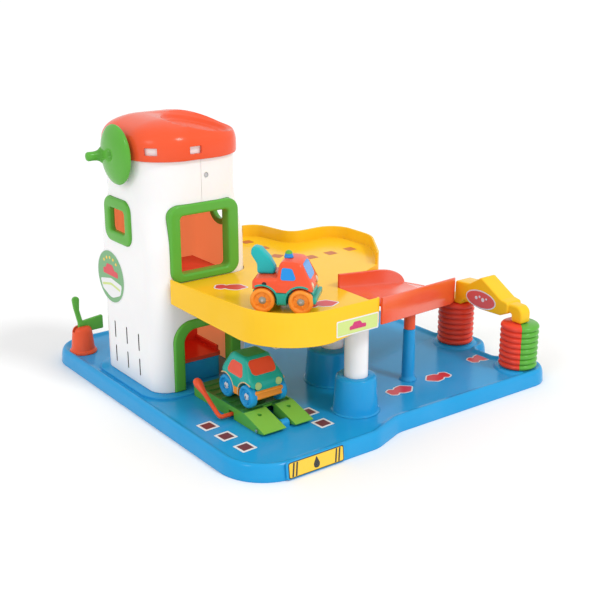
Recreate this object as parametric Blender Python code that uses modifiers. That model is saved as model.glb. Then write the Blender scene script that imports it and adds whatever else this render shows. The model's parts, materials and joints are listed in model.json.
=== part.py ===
"""Toy service station: a base tray with a lift tower, an upper parking deck,
an exit road, a drive-through wash with two ribbed rollers, a barrier, a
tilting service ramp and two chunky toy vehicles.

Plan directions: +X along the front edge to the right, +Y to the rear, +Z up.
All sizes are real sizes in metres.
"""

import math

import bmesh
import bpy
from mathutils import Matrix, Vector

MM = 0.001
GAP = 0.3 * MM
QUARTER = math.pi / 2

# Base tray
BASE_LEFT = -250 * MM
BASE_RIGHT = 212 * MM
BASE_FRONT = -250 * MM
BASE_FRONT_STEP = 17 * MM
BASE_REAR = 245 * MM
BASE_FLOOR = 17 * MM
BASE_RIM = 20.5 * MM
BASE_WALL = 2.6 * MM
STEP_LEFT = -72 * MM
STEP_RIGHT = -26 * MM
LOBE_RADIUS = 36 * MM
LOBE_WAIST = 18 * MM
PLINTH_TOP = 20 * MM
PLINTH_MARGIN = 13 * MM

# Lift tower: the roof's top sets the height, and the rest hangs from it
ROOF_TOP = 351 * MM
ROOF_CROWN = 28 * MM
TOWER_X = -153 * MM
TOWER_Y = 62 * MM
TOWER_HALF_WIDTH = 69 * MM
TOWER_HALF_DEPTH = 74 * MM
TOWER_WALL = 3 * MM
BACK_PANEL_HALF_WIDTH = TOWER_HALF_WIDTH - 29.8 * MM
TOWER_CORNER_LOW = 25 * MM
TOWER_CORNER_HIGH = 51 * MM
TOWER_SHOULDER_LOW = 195 * MM
TOWER_SHOULDER_HIGH = 262 * MM
TOWER_TOP = ROOF_TOP - ROOF_CROWN
TOWER_FRONT = TOWER_Y - TOWER_HALF_DEPTH
TOWER_LEFT = TOWER_X - TOWER_HALF_WIDTH
TOWER_RIGHT = TOWER_X + TOWER_HALF_WIDTH

# Roof cap
ROOF_SKIRT = 16 * MM
ROOF_RIM = TOWER_TOP - ROOF_SKIRT
ROOF_WALL = 3.7 * MM
ROOF_OVERHANG = 4.2 * MM
ROOF_DISH_RADIUS = 43 * MM
ROOF_DISH_DEPTH = 9 * MM
ROOF_DISH_X = TOWER_X + 34 * MM
ROOF_DISH_Y = TOWER_Y - 24 * MM

# Door and window frames
FRAME_DEPTH = 17 * MM
FRAME_PROUD = 3 * MM
DOOR_CENTRE_X = -151 * MM
DOOR_WIDTH = 97 * MM
DOOR_JAMB = 15 * MM
UPPER_DOOR_TOP = 255 * MM
UPPER_DOOR_CORNER = 15 * MM
UPPER_DOOR_RAIL = 10 * MM
UPPER_DOOR_HEAD = 13 * MM
LOWER_DOOR_TOP = 110 * MM
LOWER_DOOR_CORNER = 26 * MM
WINDOW_Y = 72 * MM
WINDOW_Z = 225.5 * MM
WINDOW_WIDTH = 66 * MM
WINDOW_HEIGHT = 57 * MM
WINDOW_BORDER = 14 * MM
WINDOW_CORNER = 15 * MM
WINDOW_DEPTH = 9 * MM
PORTHOLE_Y = 52 * MM
PORTHOLE_Z = 229 * MM
PORTHOLE_RADIUS = 24 * MM
PORTHOLE_BORE = 16 * MM
SCREW_X = TOWER_X + 7 * MM
SCREW_SHARE = 8 / 13
SCREW_Z = UPPER_DOOR_TOP + (ROOF_RIM - UPPER_DOOR_TOP) * SCREW_SHARE
SLOT_LENGTH = 22.5 * MM
SLOT_WIDTH = 2.4 * MM
SLOT_PITCH = 31 * MM
SLOT_Y = 66 * MM
SLOT_ROWS = (77.5 * MM, 44.5 * MM)

# Lift
PLATFORM_WIDTH = 62 * MM
PLATFORM_THICK = 5 * MM
PLATFORM_REST = 48 * MM
PLATFORM_CLEARANCE = 1.2 * MM
UPPER_PLATFORM_Z = 161 * MM
CARRIAGE_BACK_THICK = 6 * MM
MAST_WIDTH = 10 * MM
MAST_DEPTH = 8 * MM
MAST_FIT = 0.5 * MM
MAST_SOCKET = 10 * MM
SLEEVE_WALL = 4.5 * MM
LIFT_REST_Y = 46 * MM
LIFT_REST_DEPTH = 84 * MM

# Crank and winding drum
CRANK_Y = 53 * MM
CRANK_Z = TOWER_TOP - 12 * MM
CRANK_RADIUS = 36 * MM
CRANK_STANDOFF = 9 * MM
CRANK_PLANE_X = TOWER_LEFT - CRANK_STANDOFF
CRANK_PEG_OFFSET = 27 * MM
CRANK_PEG_DROP = 4 * MM
CRANK_PEG_REACH = 25 * MM
SHAFT_RADIUS = 4 * MM
SHAFT_FIT = 0.4 * MM
DRUM_RADIUS = 9 * MM
DRUM_FLANGE_RADIUS = 14 * MM
DRUM_WIDTH = 20 * MM
CORD_RADIUS = 0.8 * MM
CARRIAGE_BACK_Y = CRANK_Y + DRUM_RADIUS + CORD_RADIUS + GAP

# Upper deck
DECK_FLOOR = 160 * MM
DECK_PLATE = 3 * MM
DECK_WALL = 3 * MM
DECK_LIP = 168 * MM
DECK_REAR_WALL = 176 * MM
DECK_LEFT = -204 * MM
DECK_FRONT = -217 * MM
DECK_END_X = -46 * MM
DECK_SKIRT_LOW = 128 * MM
DECK_SKIRT_RISE = 9.5 * MM
DECK_TURN_X = 60 * MM
DECK_BAY_RIGHT = 106 * MM
DECK_BAY_REAR = 54 * MM
DECK_WING_RIGHT = 16 * MM
DECK_WING_REAR = 124 * MM

# Columns and bosses
COLUMN_RADIUS = 14.3 * MM
COLUMN_SOCKET = 12 * MM
COLUMN_BOSS_TOP = 62 * MM
COLUMN_TOP = 152.5 * MM
FRONT_COLUMN = (-48 * MM, -178 * MM)
FRONT_BOSS_RADIUS = 26.5 * MM
REAR_COLUMN = (-10 * MM, -85 * MM)
REAR_BOSS_RADIUS = 34 * MM
ROAD_POST = (66 * MM, -146 * MM)
ROAD_POST_RADIUS = 7.7 * MM
ROAD_POST_TOP = 86 * MM

# Exit road
ROAD_END_X = 196 * MM
ROAD_NEAR_Y = -220 * MM
ROAD_SLEW = 0.516
ROAD_WIDTH = 81 * MM
ROAD_END_WIDTH = 62 * MM
ROAD_WALL = 3 * MM
ROAD_FALL = 0.262
ROAD_LATE_FALL = 0.38
ROAD_BREAK_X = 130 * MM

# Drive-through wash
ROLLER_X = 209 * MM
ROLLER_REAR_Y = -87 * MM
ROLLER_FRONT_Y = -203 * MM
ROLLER_RADIUS = 25 * MM
ROLLER_GROOVE = 22.3 * MM
ROLLER_RIBS = 8
ROLLER_BOTTOM = 20.3 * MM
ROLLER_TOP = 80 * MM
ROLLER_SHELL = 2.4 * MM
ROLLER_AXLE_RADIUS = 3 * MM
ROLLER_FOOT_RADIUS = 30 * MM
AXLE_SEAT_Z = BASE_FLOOR - BASE_WALL + 1.3 * MM
ARCH_SOCKET = 3.5 * MM
ARCH_CREST = 47.5 * MM
ARCH_DEPTH = 27 * MM
ARCH_X = 197 * MM
ARCH_LEG = 18 * MM

# Barrier
BARRIER_X = -224 * MM
BARRIER_Y = 194 * MM
BARRIER_FOOT_RADIUS = 18.5 * MM
BARRIER_POST_HEIGHT = 37 * MM
BARRIER_PIVOT_Z = 45 * MM
BARRIER_PLATE = 5 * MM
BARRIER_SLOT = 6.2 * MM
BARRIER_SLOT_REACH = 11 * MM
BARRIER_PIN_RADIUS = 1.5 * MM

# Service ramp
RAMP_LEFT = -182 * MM
RAMP_RIGHT = -112 * MM
RAMP_REAR_Y = -28 * MM
RAMP_KNEE_Y = -138 * MM
RAMP_TIP_Y = -178 * MM
RAMP_TOP = 33 * MM
RAMP_CURB = 1.5 * MM
RAMP_WALL = 3.5 * MM
RAMP_SLOT_LEFT = -151 * MM
RAMP_SLOT_RIGHT = -137.5 * MM
RAMP_PIVOT_Y = -164 * MM
RAMP_PIVOT_Z = 20.8 * MM
RAMP_PIN_RADIUS = 2 * MM
RAMP_RIBS = 7
RAMP_RIB_TOP = RAMP_TOP - 0.1 * MM
LEVER_Y = -111 * MM
LEVER_Z = 22.5 * MM
LEVER_RADIUS = 2.6 * MM
LEVER_PLANE_X = -198 * MM
LEVER_REACH = 57 * MM
LEVER_SLOPE = math.radians(30.6)
LEVER_INNER_X = -146 * MM

# Toy vehicles
CAR_LENGTH = 74 * MM
CAR_WIDTH = 50 * MM
WHEEL_BASE = 43 * MM
WHEEL_RADIUS = 14 * MM
WHEEL_WIDTH = 9 * MM
WHEEL_TRACK = 43 * MM
WHEEL_ARCH = 16.5 * MM
CAR_AXLE_RADIUS = 1.6 * MM
TRUCK_SKIRT = 24 * MM
TRUCK_BED_TOP = 38 * MM
TRUCK_CAB_TOP = 58 * MM
HATCH_SKIRT = 20 * MM
HATCH_SILL = 35 * MM
HATCH_ROOF = 53 * MM
TRUCK_POSE = (-138 * MM, -160 * MM, math.radians(-47))
HATCH_POSE = (-147 * MM, -105.5 * MM, math.radians(-90))

# Both axles of a parked car stand on a rib
RAMP_RIB_PITCH = WHEEL_BASE / 3
RAMP_RIB_FRONT = HATCH_POSE[1] - WHEEL_BASE / 2


def clear_scene():
    for item in list(bpy.data.objects):
        bpy.data.objects.remove(item, do_unlink=True)


def new_collection(name):
    group = bpy.data.collections.new(name)
    bpy.context.scene.collection.children.link(group)
    return group


def plastic(name, colour, roughness=0.28, metallic=0.0):
    """One Principled material; colours are linear RGB."""
    material = bpy.data.materials.new(name)
    material.use_nodes = True
    shader = material.node_tree.nodes["Principled BSDF"]
    shader.inputs["Base Color"].default_value = (*colour, 1.0)
    shader.inputs["Roughness"].default_value = roughness
    shader.inputs["Metallic"].default_value = metallic
    material.diffuse_color = (*colour, 1.0)
    return material


def empty(name, parent, location, turn=0.0):
    marker = bpy.data.objects.new(name, None)
    PARTS.objects.link(marker)
    marker.parent = parent
    marker.location = location
    marker.rotation_euler = (0, 0, turn)
    return marker


def add_object(name, mesh, material, parent):
    item = bpy.data.objects.new(name, mesh)
    item.parent = parent
    if material is None:
        CUTTERS.objects.link(item)
        item.hide_render = True
        item.display_type = "WIRE"
    else:
        mesh.materials.append(material)
        PARTS.objects.link(item)
    return item


def mesh_object(name, bm, material, parent):
    bmesh.ops.recalc_face_normals(bm, faces=bm.faces)
    mesh = bpy.data.meshes.new(name)
    bm.to_mesh(mesh)
    bm.free()
    return add_object(name, mesh, material, parent)


def box(name, low, high, material=None, parent=None):
    """A box between two corners, in the parent's frame."""
    low, high = Vector(low), Vector(high)
    bm = bmesh.new()
    size = Matrix.Diagonal((high - low).to_4d())
    size[3][3] = 1.0
    bmesh.ops.create_cube(bm, size=1.0, matrix=Matrix.Translation((low + high) / 2) @ size)
    return mesh_object(name, bm, material, parent or ROOT)


def cylinder(name, radius, start, end, material=None, parent=None, sides=24, end_radius=None):
    """A cylinder or cone frustum between two points."""
    start, end = Vector(start), Vector(end)
    along = end - start
    turn = Vector((0, 0, 1)).rotation_difference(along).to_matrix().to_4x4()
    bm = bmesh.new()
    bmesh.ops.create_cone(
        bm,
        cap_ends=True,
        segments=sides,
        radius1=radius,
        radius2=radius if end_radius is None else end_radius,
        depth=along.length,
        matrix=Matrix.Translation((start + end) / 2) @ turn,
    )
    return mesh_object(name, bm, material, parent or ROOT)


def turned(
    name,
    profile,
    material=None,
    parent=None,
    steps=24,
    closed=False,
    location=(0, 0, 0),
    tilt=(0, 0, 0),
):
    """Turn a profile of (radius, height) points about its own Z axis."""
    mesh = bpy.data.meshes.new(name)
    edges = [(i, i + 1) for i in range(len(profile) - 1)]
    if closed:
        edges.append((len(profile) - 1, 0))
    mesh.from_pydata([(r, 0, z) for r, z in profile], edges, [])
    item = add_object(name, mesh, material, parent or ROOT)
    item.location = location
    item.rotation_euler = tilt
    screw = item.modifiers.new("Turn", "SCREW")
    screw.steps = steps
    screw.render_steps = steps
    screw.use_merge_vertices = True
    screw.merge_threshold = 0.00001
    return item


def plate(name, outlines, thick, material=None, parent=None, location=(0, 0, 0), tilt=(0, 0, 0)):
    """Extrude flat outlines; an outline inside another is a hole."""
    curve = bpy.data.curves.new(name, "CURVE")
    curve.dimensions = "2D"
    curve.fill_mode = "BOTH"
    curve.extrude = thick / 2
    for outline in outlines:
        spline = curve.splines.new("POLY")
        spline.points.add(len(outline) - 1)
        spline.use_cyclic_u = True
        for point, (x, y) in zip(spline.points, outline):
            point.co = (x, y, 0, 1)
    shape = bpy.data.objects.new(name, curve)
    CUTTERS.objects.link(shape)
    evaluated = shape.evaluated_get(bpy.context.evaluated_depsgraph_get())
    bm = bmesh.new()
    bm.from_mesh(bpy.data.meshes.new_from_object(evaluated))
    bpy.data.objects.remove(shape)
    bmesh.ops.remove_doubles(bm, verts=bm.verts, dist=0.000001)
    bmesh.ops.translate(bm, verts=bm.verts, vec=(0, 0, thick / 2))
    item = mesh_object(name, bm, material, parent or ROOT)
    item.location = location
    item.rotation_euler = tilt
    return item


def tube(name, points, radii, thickness, material=None, parent=None, sides=2):
    """A round bar along points, its radius scaled at each of them."""
    curve = bpy.data.curves.new(name, "CURVE")
    curve.dimensions = "3D"
    curve.bevel_depth = thickness
    curve.bevel_resolution = sides
    curve.use_fill_caps = True
    spline = curve.splines.new("POLY")
    spline.points.add(len(points) - 1)
    for point, place, radius in zip(spline.points, points, radii):
        point.co = (*place, 1)
        point.radius = radius
    shape = bpy.data.objects.new(name, curve)
    CUTTERS.objects.link(shape)
    evaluated = shape.evaluated_get(bpy.context.evaluated_depsgraph_get())
    bm = bmesh.new()
    bm.from_mesh(bpy.data.meshes.new_from_object(evaluated))
    bpy.data.objects.remove(shape)
    bmesh.ops.remove_doubles(bm, verts=bm.verts, dist=0.00001)
    return mesh_object(name, bm, material, parent or ROOT)


def loft(name, rings, material=None, parent=None, hoop=False):
    """Skin rings of equal count; a hoop joins the last ring to the first."""
    bm = bmesh.new()
    loops = [[bm.verts.new(point) for point in ring] for ring in rings]
    count = len(loops[0])
    pairs = list(zip(loops, loops[1:]))
    if hoop:
        pairs.append((loops[-1], loops[0]))
    for first, second in pairs:
        for i in range(count):
            j = (i + 1) % count
            bm.faces.new((first[i], first[j], second[j], second[i]))
    if not hoop:
        bm.faces.new(loops[0][::-1])
        bm.faces.new(loops[-1])
    return mesh_object(name, bm, material, parent or ROOT)


def boolean(target, tool, operation):
    step = target.modifiers.new(operation.title(), "BOOLEAN")
    step.operation = operation
    step.solver = "EXACT"
    step.object = tool


def cut(target, *tools):
    for tool in tools:
        boolean(target, tool, "DIFFERENCE")


def fuse(target, *tools):
    for tool in tools:
        boolean(target, tool, "UNION")


def bevel(item, width, segments=2, angle=40):
    step = item.modifiers.new("Edges", "BEVEL")
    step.width = width
    step.segments = segments
    step.limit_method = "ANGLE"
    step.angle_limit = math.radians(angle)


def smooth(*items):
    for item in items:
        item.data.shade_smooth()
        item.data.set_sharp_from_angle(angle=math.radians(35))


def move_origin(item, point):
    """Put the origin on a joint's axis without moving the shape."""
    shift = Vector(point) - item.location
    item.data.transform(Matrix.Translation(-shift))
    item.location = Vector(point)


def fillet(corners, steps=6):
    """An outline from (x, y, radius) corners, each rounded by an arc."""
    outline = []
    for i, (x, y, radius) in enumerate(corners):
        before = Vector(corners[i - 1][:2])
        corner = Vector((x, y))
        after = Vector(corners[(i + 1) % len(corners)][:2])
        inward = (before - corner).normalized()
        onward = (after - corner).normalized()
        half = inward.angle(onward) / 2
        if radius <= 0 or half > QUARTER - 0.01:
            outline.append((x, y))
            continue
        reach = radius / math.tan(half)
        centre = corner + (inward + onward).normalized() * (radius / math.sin(half))
        start = corner + inward * reach - centre
        sweep = start.angle_signed(corner + onward * reach - centre)
        for k in range(steps + 1):
            arm = start.copy()
            arm.rotate(Matrix.Rotation(-sweep * k / steps, 2))
            outline.append(tuple(centre + arm))
    return outline


def inset(outline, distance):
    """Move a counter-clockwise outline inwards by a distance."""
    moved = []
    for i, point in enumerate(outline):
        point = Vector(point)
        first = (point - Vector(outline[i - 1])).normalized()
        second = (Vector(outline[(i + 1) % len(outline)]) - point).normalized()
        normal_a = Vector((-first.y, first.x))
        normal_b = Vector((-second.y, second.x))
        shift = (normal_a + normal_b) / (1 + normal_a.dot(normal_b))
        moved.append(tuple(point + shift * distance))
    return moved


def rectangle(centre_x, centre_y, half_x, half_y, radius, steps=6):
    return fillet(
        [
            (centre_x - half_x, centre_y - half_y, radius),
            (centre_x + half_x, centre_y - half_y, radius),
            (centre_x + half_x, centre_y + half_y, radius),
            (centre_x - half_x, centre_y + half_y, radius),
        ],
        steps,
    )


def circle(centre_x, centre_y, radius, count=24):
    turns = [2 * math.pi * i / count for i in range(count)]
    return [(centre_x + radius * math.cos(a), centre_y + radius * math.sin(a)) for a in turns]


def at_height(outline, z):
    return [(x, y, z) for x, y in outline]


def mix(low, high, share):
    return low + (high - low) * min(max(share, 0.0), 1.0)


UPRIGHT = (QUARTER, 0, 0)
SIDEWAYS = (QUARTER, 0, QUARTER)


def base_outline():
    """Rounded slab with a stepped front and a lobe under each wash roller."""
    front = BASE_FRONT + BASE_FRONT_STEP
    lobe = ROLLER_X + LOBE_RADIUS
    rear_lobe = ROLLER_REAR_Y + LOBE_RADIUS
    mid = (ROLLER_REAR_Y + ROLLER_FRONT_Y) / 2
    return fillet(
        [
            (BASE_LEFT, BASE_FRONT, 60 * MM),
            (STEP_LEFT, BASE_FRONT, 40 * MM),
            (STEP_RIGHT, front, 40 * MM),
            (lobe, front - 3 * MM, 34 * MM),
            (lobe, mid - LOBE_WAIST, 22 * MM),
            (BASE_RIGHT, mid - LOBE_WAIST, 6 * MM),
            (BASE_RIGHT, mid + LOBE_WAIST, 6 * MM),
            (lobe, mid + LOBE_WAIST, 26 * MM),
            (lobe, rear_lobe, 26 * MM),
            (BASE_RIGHT, rear_lobe, 6 * MM),
            (BASE_RIGHT, BASE_REAR, 40 * MM),
            (BASE_LEFT, BASE_REAR, 45 * MM),
        ],
        4,
    )


def make_base_tray():
    outline = base_outline()
    under = BASE_FLOOR - BASE_WALL
    tray = loft(
        "base_tray",
        [
            at_height(inset(outline, 14 * MM), BASE_FLOOR),
            at_height(inset(outline, 9.5 * MM), BASE_RIM - 1.2 * MM),
            at_height(inset(outline, 6 * MM), BASE_RIM),
            at_height(inset(outline, 3 * MM), BASE_RIM - 2 * MM),
            at_height(inset(outline, 1 * MM), BASE_RIM - 7 * MM),
            at_height(outline, 0.0),
            at_height(inset(outline, BASE_WALL), 0.0),
            at_height(inset(outline, BASE_WALL + 1 * MM), under),
        ],
        BLUE,
    )
    plinth = plate(
        "plinth",
        [
            rectangle(
                TOWER_X,
                TOWER_Y,
                TOWER_HALF_WIDTH + PLINTH_MARGIN,
                TOWER_HALF_DEPTH + PLINTH_MARGIN,
                TOWER_CORNER_LOW + PLINTH_MARGIN,
            )
        ],
        PLINTH_TOP - under - 0.5 * MM,
        location=(0, 0, under + 0.5 * MM),
    )
    sunk = BASE_FLOOR - 1.5 * MM
    fuse(tray, plinth)
    for name, y in (("rear_foot", ROLLER_REAR_Y), ("front_foot", ROLLER_FRONT_Y)):
        foot = cylinder(
            name,
            ROLLER_FOOT_RADIUS,
            (ROLLER_X, y, under + 0.7 * MM),
            (ROLLER_X, y, ROLLER_BOTTOM - GAP),
            end_radius=ROLLER_FOOT_RADIUS - 2 * MM,
            sides=24,
        )
        socket = cylinder(
            name + "_socket",
            ROLLER_AXLE_RADIUS + SHAFT_FIT,
            (ROLLER_X, y, AXLE_SEAT_Z),
            (ROLLER_X, y, BASE_RIM + 4 * MM),
            sides=16,
        )
        fuse(tray, foot)
        cut(tray, socket)
    barrier_seat = cylinder(
        "barrier_seat",
        BARRIER_FOOT_RADIUS + GAP,
        (BARRIER_X, BARRIER_Y, BASE_FLOOR),
        (BARRIER_X, BARRIER_Y, BASE_RIM + 5 * MM),
        sides=24,
    )
    cut(tray, barrier_seat)
    add_ramp_brackets(tray, sunk)
    smooth(tray)


def make_lift_rest():
    """Hollow block that stops the lift and holds the mast's foot."""
    outline = rectangle(TOWER_X, LIFT_REST_Y, PLATFORM_WIDTH / 2 - 1 * MM, LIFT_REST_DEPTH / 2, 4 * MM, 3)
    low = PLINTH_TOP + GAP
    rest = plate("lift_rest", [outline], PLATFORM_REST - GAP - low, BLUE, location=(0, 0, low))
    mast_hole = box(
        "mast_hole",
        (TOWER_X - MAST_WIDTH / 2 - GAP, mast_y() - MAST_DEPTH / 2 - GAP, PLATFORM_REST - MAST_SOCKET),
        (TOWER_X + MAST_WIDTH / 2 + GAP, mast_y() + MAST_DEPTH / 2 + GAP, PLATFORM_REST + 5 * MM),
    )
    cut(rest, mast_hole)
    smooth(rest)


def make_column_sockets():
    """Flared sockets for the deck's columns and the post under the road."""
    foot = BASE_FLOOR + GAP
    for name, place, radius in (
        ("front_column_socket", FRONT_COLUMN, FRONT_BOSS_RADIUS),
        ("rear_column_socket", REAR_COLUMN, REAR_BOSS_RADIUS),
    ):
        top = COLUMN_BOSS_TOP - foot
        bore = COLUMN_RADIUS + GAP
        socket = turned(
            name,
            [
                (0, top - COLUMN_SOCKET),
                (bore, top - COLUMN_SOCKET),
                (bore, top),
                (radius - 5 * MM, top),
                (radius - 2.5 * MM, top - 1.5 * MM),
                (radius - 1.5 * MM, top - 5 * MM),
                (radius + 0.8 * MM, 4 * MM),
                (radius + 3 * MM, 0.6 * MM),
                (radius + 3 * MM, 0),
                (0, 0),
            ],
            BLUE,
            steps=20,
            location=(*place, foot),
        )
        smooth(socket)
    post = turned(
        "road_post",
        [
            (0, ROAD_POST_TOP - foot),
            (ROAD_POST_RADIUS, ROAD_POST_TOP - foot),
            (ROAD_POST_RADIUS + 0.8 * MM, 5 * MM),
            (ROAD_POST_RADIUS + 4 * MM, 0.6 * MM),
            (ROAD_POST_RADIUS + 4 * MM, 0),
            (0, 0),
        ],
        BLUE,
        steps=20,
        location=(*ROAD_POST, foot),
    )
    smooth(post)


def add_ramp_brackets(tray, sunk):
    """Ears that carry the ramp's pivot pin and the lever's shaft."""
    ears = (
        (
            RAMP_SLOT_LEFT + 1.5 * MM,
            RAMP_SLOT_RIGHT - 1.5 * MM,
            RAMP_PIVOT_Y,
            RAMP_PIVOT_Z,
            RAMP_PIN_RADIUS,
        ),
        (RAMP_LEFT + 6 * MM, RAMP_LEFT + 11 * MM, LEVER_Y, LEVER_Z, LEVER_RADIUS),
        (LEVER_INNER_X - 6 * MM, LEVER_INNER_X - 1 * MM, LEVER_Y, LEVER_Z, LEVER_RADIUS),
    )
    for i, (left, right, y, z, radius) in enumerate(ears):
        ear = box(f"ear_{i}", (left, y - 5 * MM, sunk), (right, y + 5 * MM, z + radius + 2.4 * MM))
        fuse(tray, ear)
    for i, (left, right, y, z, radius) in enumerate(ears):
        bore = cylinder(
            f"ear_bore_{i}",
            radius + SHAFT_FIT,
            (left - 1 * MM, y, z),
            (right + 1 * MM, y, z),
            sides=14,
        )
        cut(tray, bore)


def mast_y():
    return CARRIAGE_BACK_Y + CARRIAGE_BACK_THICK / 2 + SLEEVE_WALL + MAST_DEPTH / 2


def tower_corner(z):
    share = (z - TOWER_SHOULDER_LOW) / (TOWER_SHOULDER_HIGH - TOWER_SHOULDER_LOW)
    return mix(TOWER_CORNER_LOW, TOWER_CORNER_HIGH, share)


def tower_ring(z, offset=0.0):
    return at_height(
        rectangle(
            TOWER_X,
            TOWER_Y,
            TOWER_HALF_WIDTH + offset,
            TOWER_HALF_DEPTH + offset,
            tower_corner(z) + offset,
            5,
        ),
        z,
    )


def tower_tube(name, material):
    foot = PLINTH_TOP + GAP
    shoulder = [mix(TOWER_SHOULDER_LOW, TOWER_SHOULDER_HIGH, k / 3) for k in range(4)]
    levels = [foot, *shoulder, TOWER_TOP]
    rings = [tower_ring(z) for z in levels]
    rings += [tower_ring(z, -TOWER_WALL) for z in reversed(levels)]
    return loft(name, rings, material, hoop=True)


def upper_door_outline():
    return rectangle(
        DOOR_CENTRE_X,
        (DECK_FLOOR + GAP + UPPER_DOOR_TOP) / 2,
        DOOR_WIDTH / 2,
        (UPPER_DOOR_TOP - DECK_FLOOR - GAP) / 2,
        UPPER_DOOR_CORNER,
        5,
    )


def lower_door_outline(border=0.0, foot=0.0):
    half = DOOR_WIDTH / 2 - border
    top = LOWER_DOOR_TOP - border * 0.8
    corner = LOWER_DOOR_CORNER - border * 0.6
    bottom = PLINTH_TOP + GAP - foot
    return fillet(
        [
            (DOOR_CENTRE_X - half, bottom, 0),
            (DOOR_CENTRE_X + half, bottom, 0),
            (DOOR_CENTRE_X + half, top, corner),
            (DOOR_CENTRE_X - half, top, corner),
        ],
        6,
    )


def window_outline(border=0.0):
    return rectangle(
        WINDOW_Y,
        WINDOW_Z,
        WINDOW_WIDTH / 2 - border,
        WINDOW_HEIGHT / 2 - border,
        WINDOW_CORNER - border * 0.75,
        4,
    )


def make_tower():
    """Two side shells that meet at the front, with a flat panel between them at the back."""
    left = tower_tube("tower_left_shell", WHITE)
    right = tower_tube("tower_right_shell", WHITE)
    back = tower_tube("tower_back_panel", WHITE)
    reach = TOWER_HALF_WIDTH + TOWER_HALF_DEPTH
    split = GAP / 2
    left_half = box(
        "left_half",
        (TOWER_X - reach, TOWER_Y - reach, 0),
        (TOWER_X - split, TOWER_Y + reach, ROOF_TOP),
    )
    right_half = box(
        "right_half",
        (TOWER_X + split, TOWER_Y - reach, 0),
        (TOWER_X + reach, TOWER_Y + reach, ROOF_TOP),
    )
    boolean(left, left_half, "INTERSECT")
    boolean(right, right_half, "INTERSECT")
    panel_place = box(
        "panel_place",
        (TOWER_X - BACK_PANEL_HALF_WIDTH, TOWER_Y, 0),
        (TOWER_X + BACK_PANEL_HALF_WIDTH, TOWER_Y + reach, ROOF_TOP),
    )
    panel_room = box(
        "panel_room",
        (TOWER_X - BACK_PANEL_HALF_WIDTH - GAP, TOWER_Y, 0),
        (TOWER_X + BACK_PANEL_HALF_WIDTH + GAP, TOWER_Y + reach, ROOF_TOP),
    )
    boolean(back, panel_place, "INTERSECT")
    cut(left, panel_room)
    cut(right, panel_room)
    deep = 40 * MM
    doors = plate(
        "upper_door_hole",
        [inset(upper_door_outline(), -GAP)],
        deep,
        location=(0, TOWER_FRONT + deep / 2, 0),
        tilt=UPRIGHT,
    )
    arch = plate(
        "lower_door_hole",
        [inset(lower_door_outline(foot=10 * MM), -GAP)],
        deep,
        location=(0, TOWER_FRONT + deep / 2, 0),
        tilt=UPRIGHT,
    )
    cut(left, doors, arch)
    cut(right, doors, arch)
    window = plate(
        "window_hole",
        [inset(window_outline(), -GAP)],
        deep,
        location=(TOWER_LEFT - deep / 2, 0, 0),
        tilt=SIDEWAYS,
    )
    shaft_hole = cylinder(
        "shaft_hole",
        SHAFT_RADIUS + SHAFT_FIT,
        (TOWER_LEFT - deep / 2, CRANK_Y, CRANK_Z),
        (TOWER_LEFT + deep / 2, CRANK_Y, CRANK_Z),
        sides=20,
    )
    cut(left, window, shaft_hole)
    for row, z in enumerate(SLOT_ROWS):
        for column in (-1, 0, 1):
            y = SLOT_Y + column * SLOT_PITCH
            slot = box(
                f"slot_{row}_{column + 1}",
                (TOWER_LEFT - deep / 2, y - SLOT_WIDTH / 2, z - SLOT_LENGTH / 2),
                (TOWER_LEFT + deep / 2, y + SLOT_WIDTH / 2, z + SLOT_LENGTH / 2),
            )
            cut(left, slot)
    porthole = cylinder(
        "porthole_hole",
        PORTHOLE_RADIUS + GAP,
        (TOWER_RIGHT - deep / 2, PORTHOLE_Y, PORTHOLE_Z),
        (TOWER_RIGHT + deep / 2, PORTHOLE_Y, PORTHOLE_Z),
        sides=20,
    )
    bearing = cylinder(
        "shaft_bearing",
        SHAFT_RADIUS + 4 * MM,
        (TOWER_RIGHT - TOWER_WALL - 6 * MM, CRANK_Y, CRANK_Z),
        (TOWER_RIGHT - TOWER_WALL + 1 * MM, CRANK_Y, CRANK_Z),
        sides=20,
    )
    bearing_bore = cylinder(
        "bearing_bore",
        SHAFT_RADIUS + SHAFT_FIT,
        (TOWER_RIGHT - TOWER_WALL - 20 * MM, CRANK_Y, CRANK_Z),
        (TOWER_RIGHT - TOWER_WALL - 0.5 * MM, CRANK_Y, CRANK_Z),
        sides=20,
    )
    fuse(right, bearing)
    cut(right, porthole, bearing_bore)
    screw_place = (SCREW_X, TOWER_FRONT, SCREW_Z)
    screw_hole = turned(
        "screw_hole",
        [
            (0, 9 * MM),
            (3 * MM, 9 * MM),
            (3 * MM, -1.4 * MM),
            (1.6 * MM, -1.4 * MM),
            (1.6 * MM, -9 * MM),
            (0, -9 * MM),
        ],
        steps=14,
        location=screw_place,
        tilt=UPRIGHT,
    )
    cut(right, screw_hole)
    screw = turned(
        "tower_screw",
        [
            (0, -0.3 * MM),
            (2.7 * MM, -0.3 * MM),
            (2.7 * MM, -1.1 * MM),
            (1.3 * MM, -1.2 * MM),
            (1.3 * MM, -12 * MM),
            (0, -12 * MM),
        ],
        STEEL,
        steps=14,
        location=screw_place,
        tilt=UPRIGHT,
    )
    smooth(left, right, back, screw)


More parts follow.
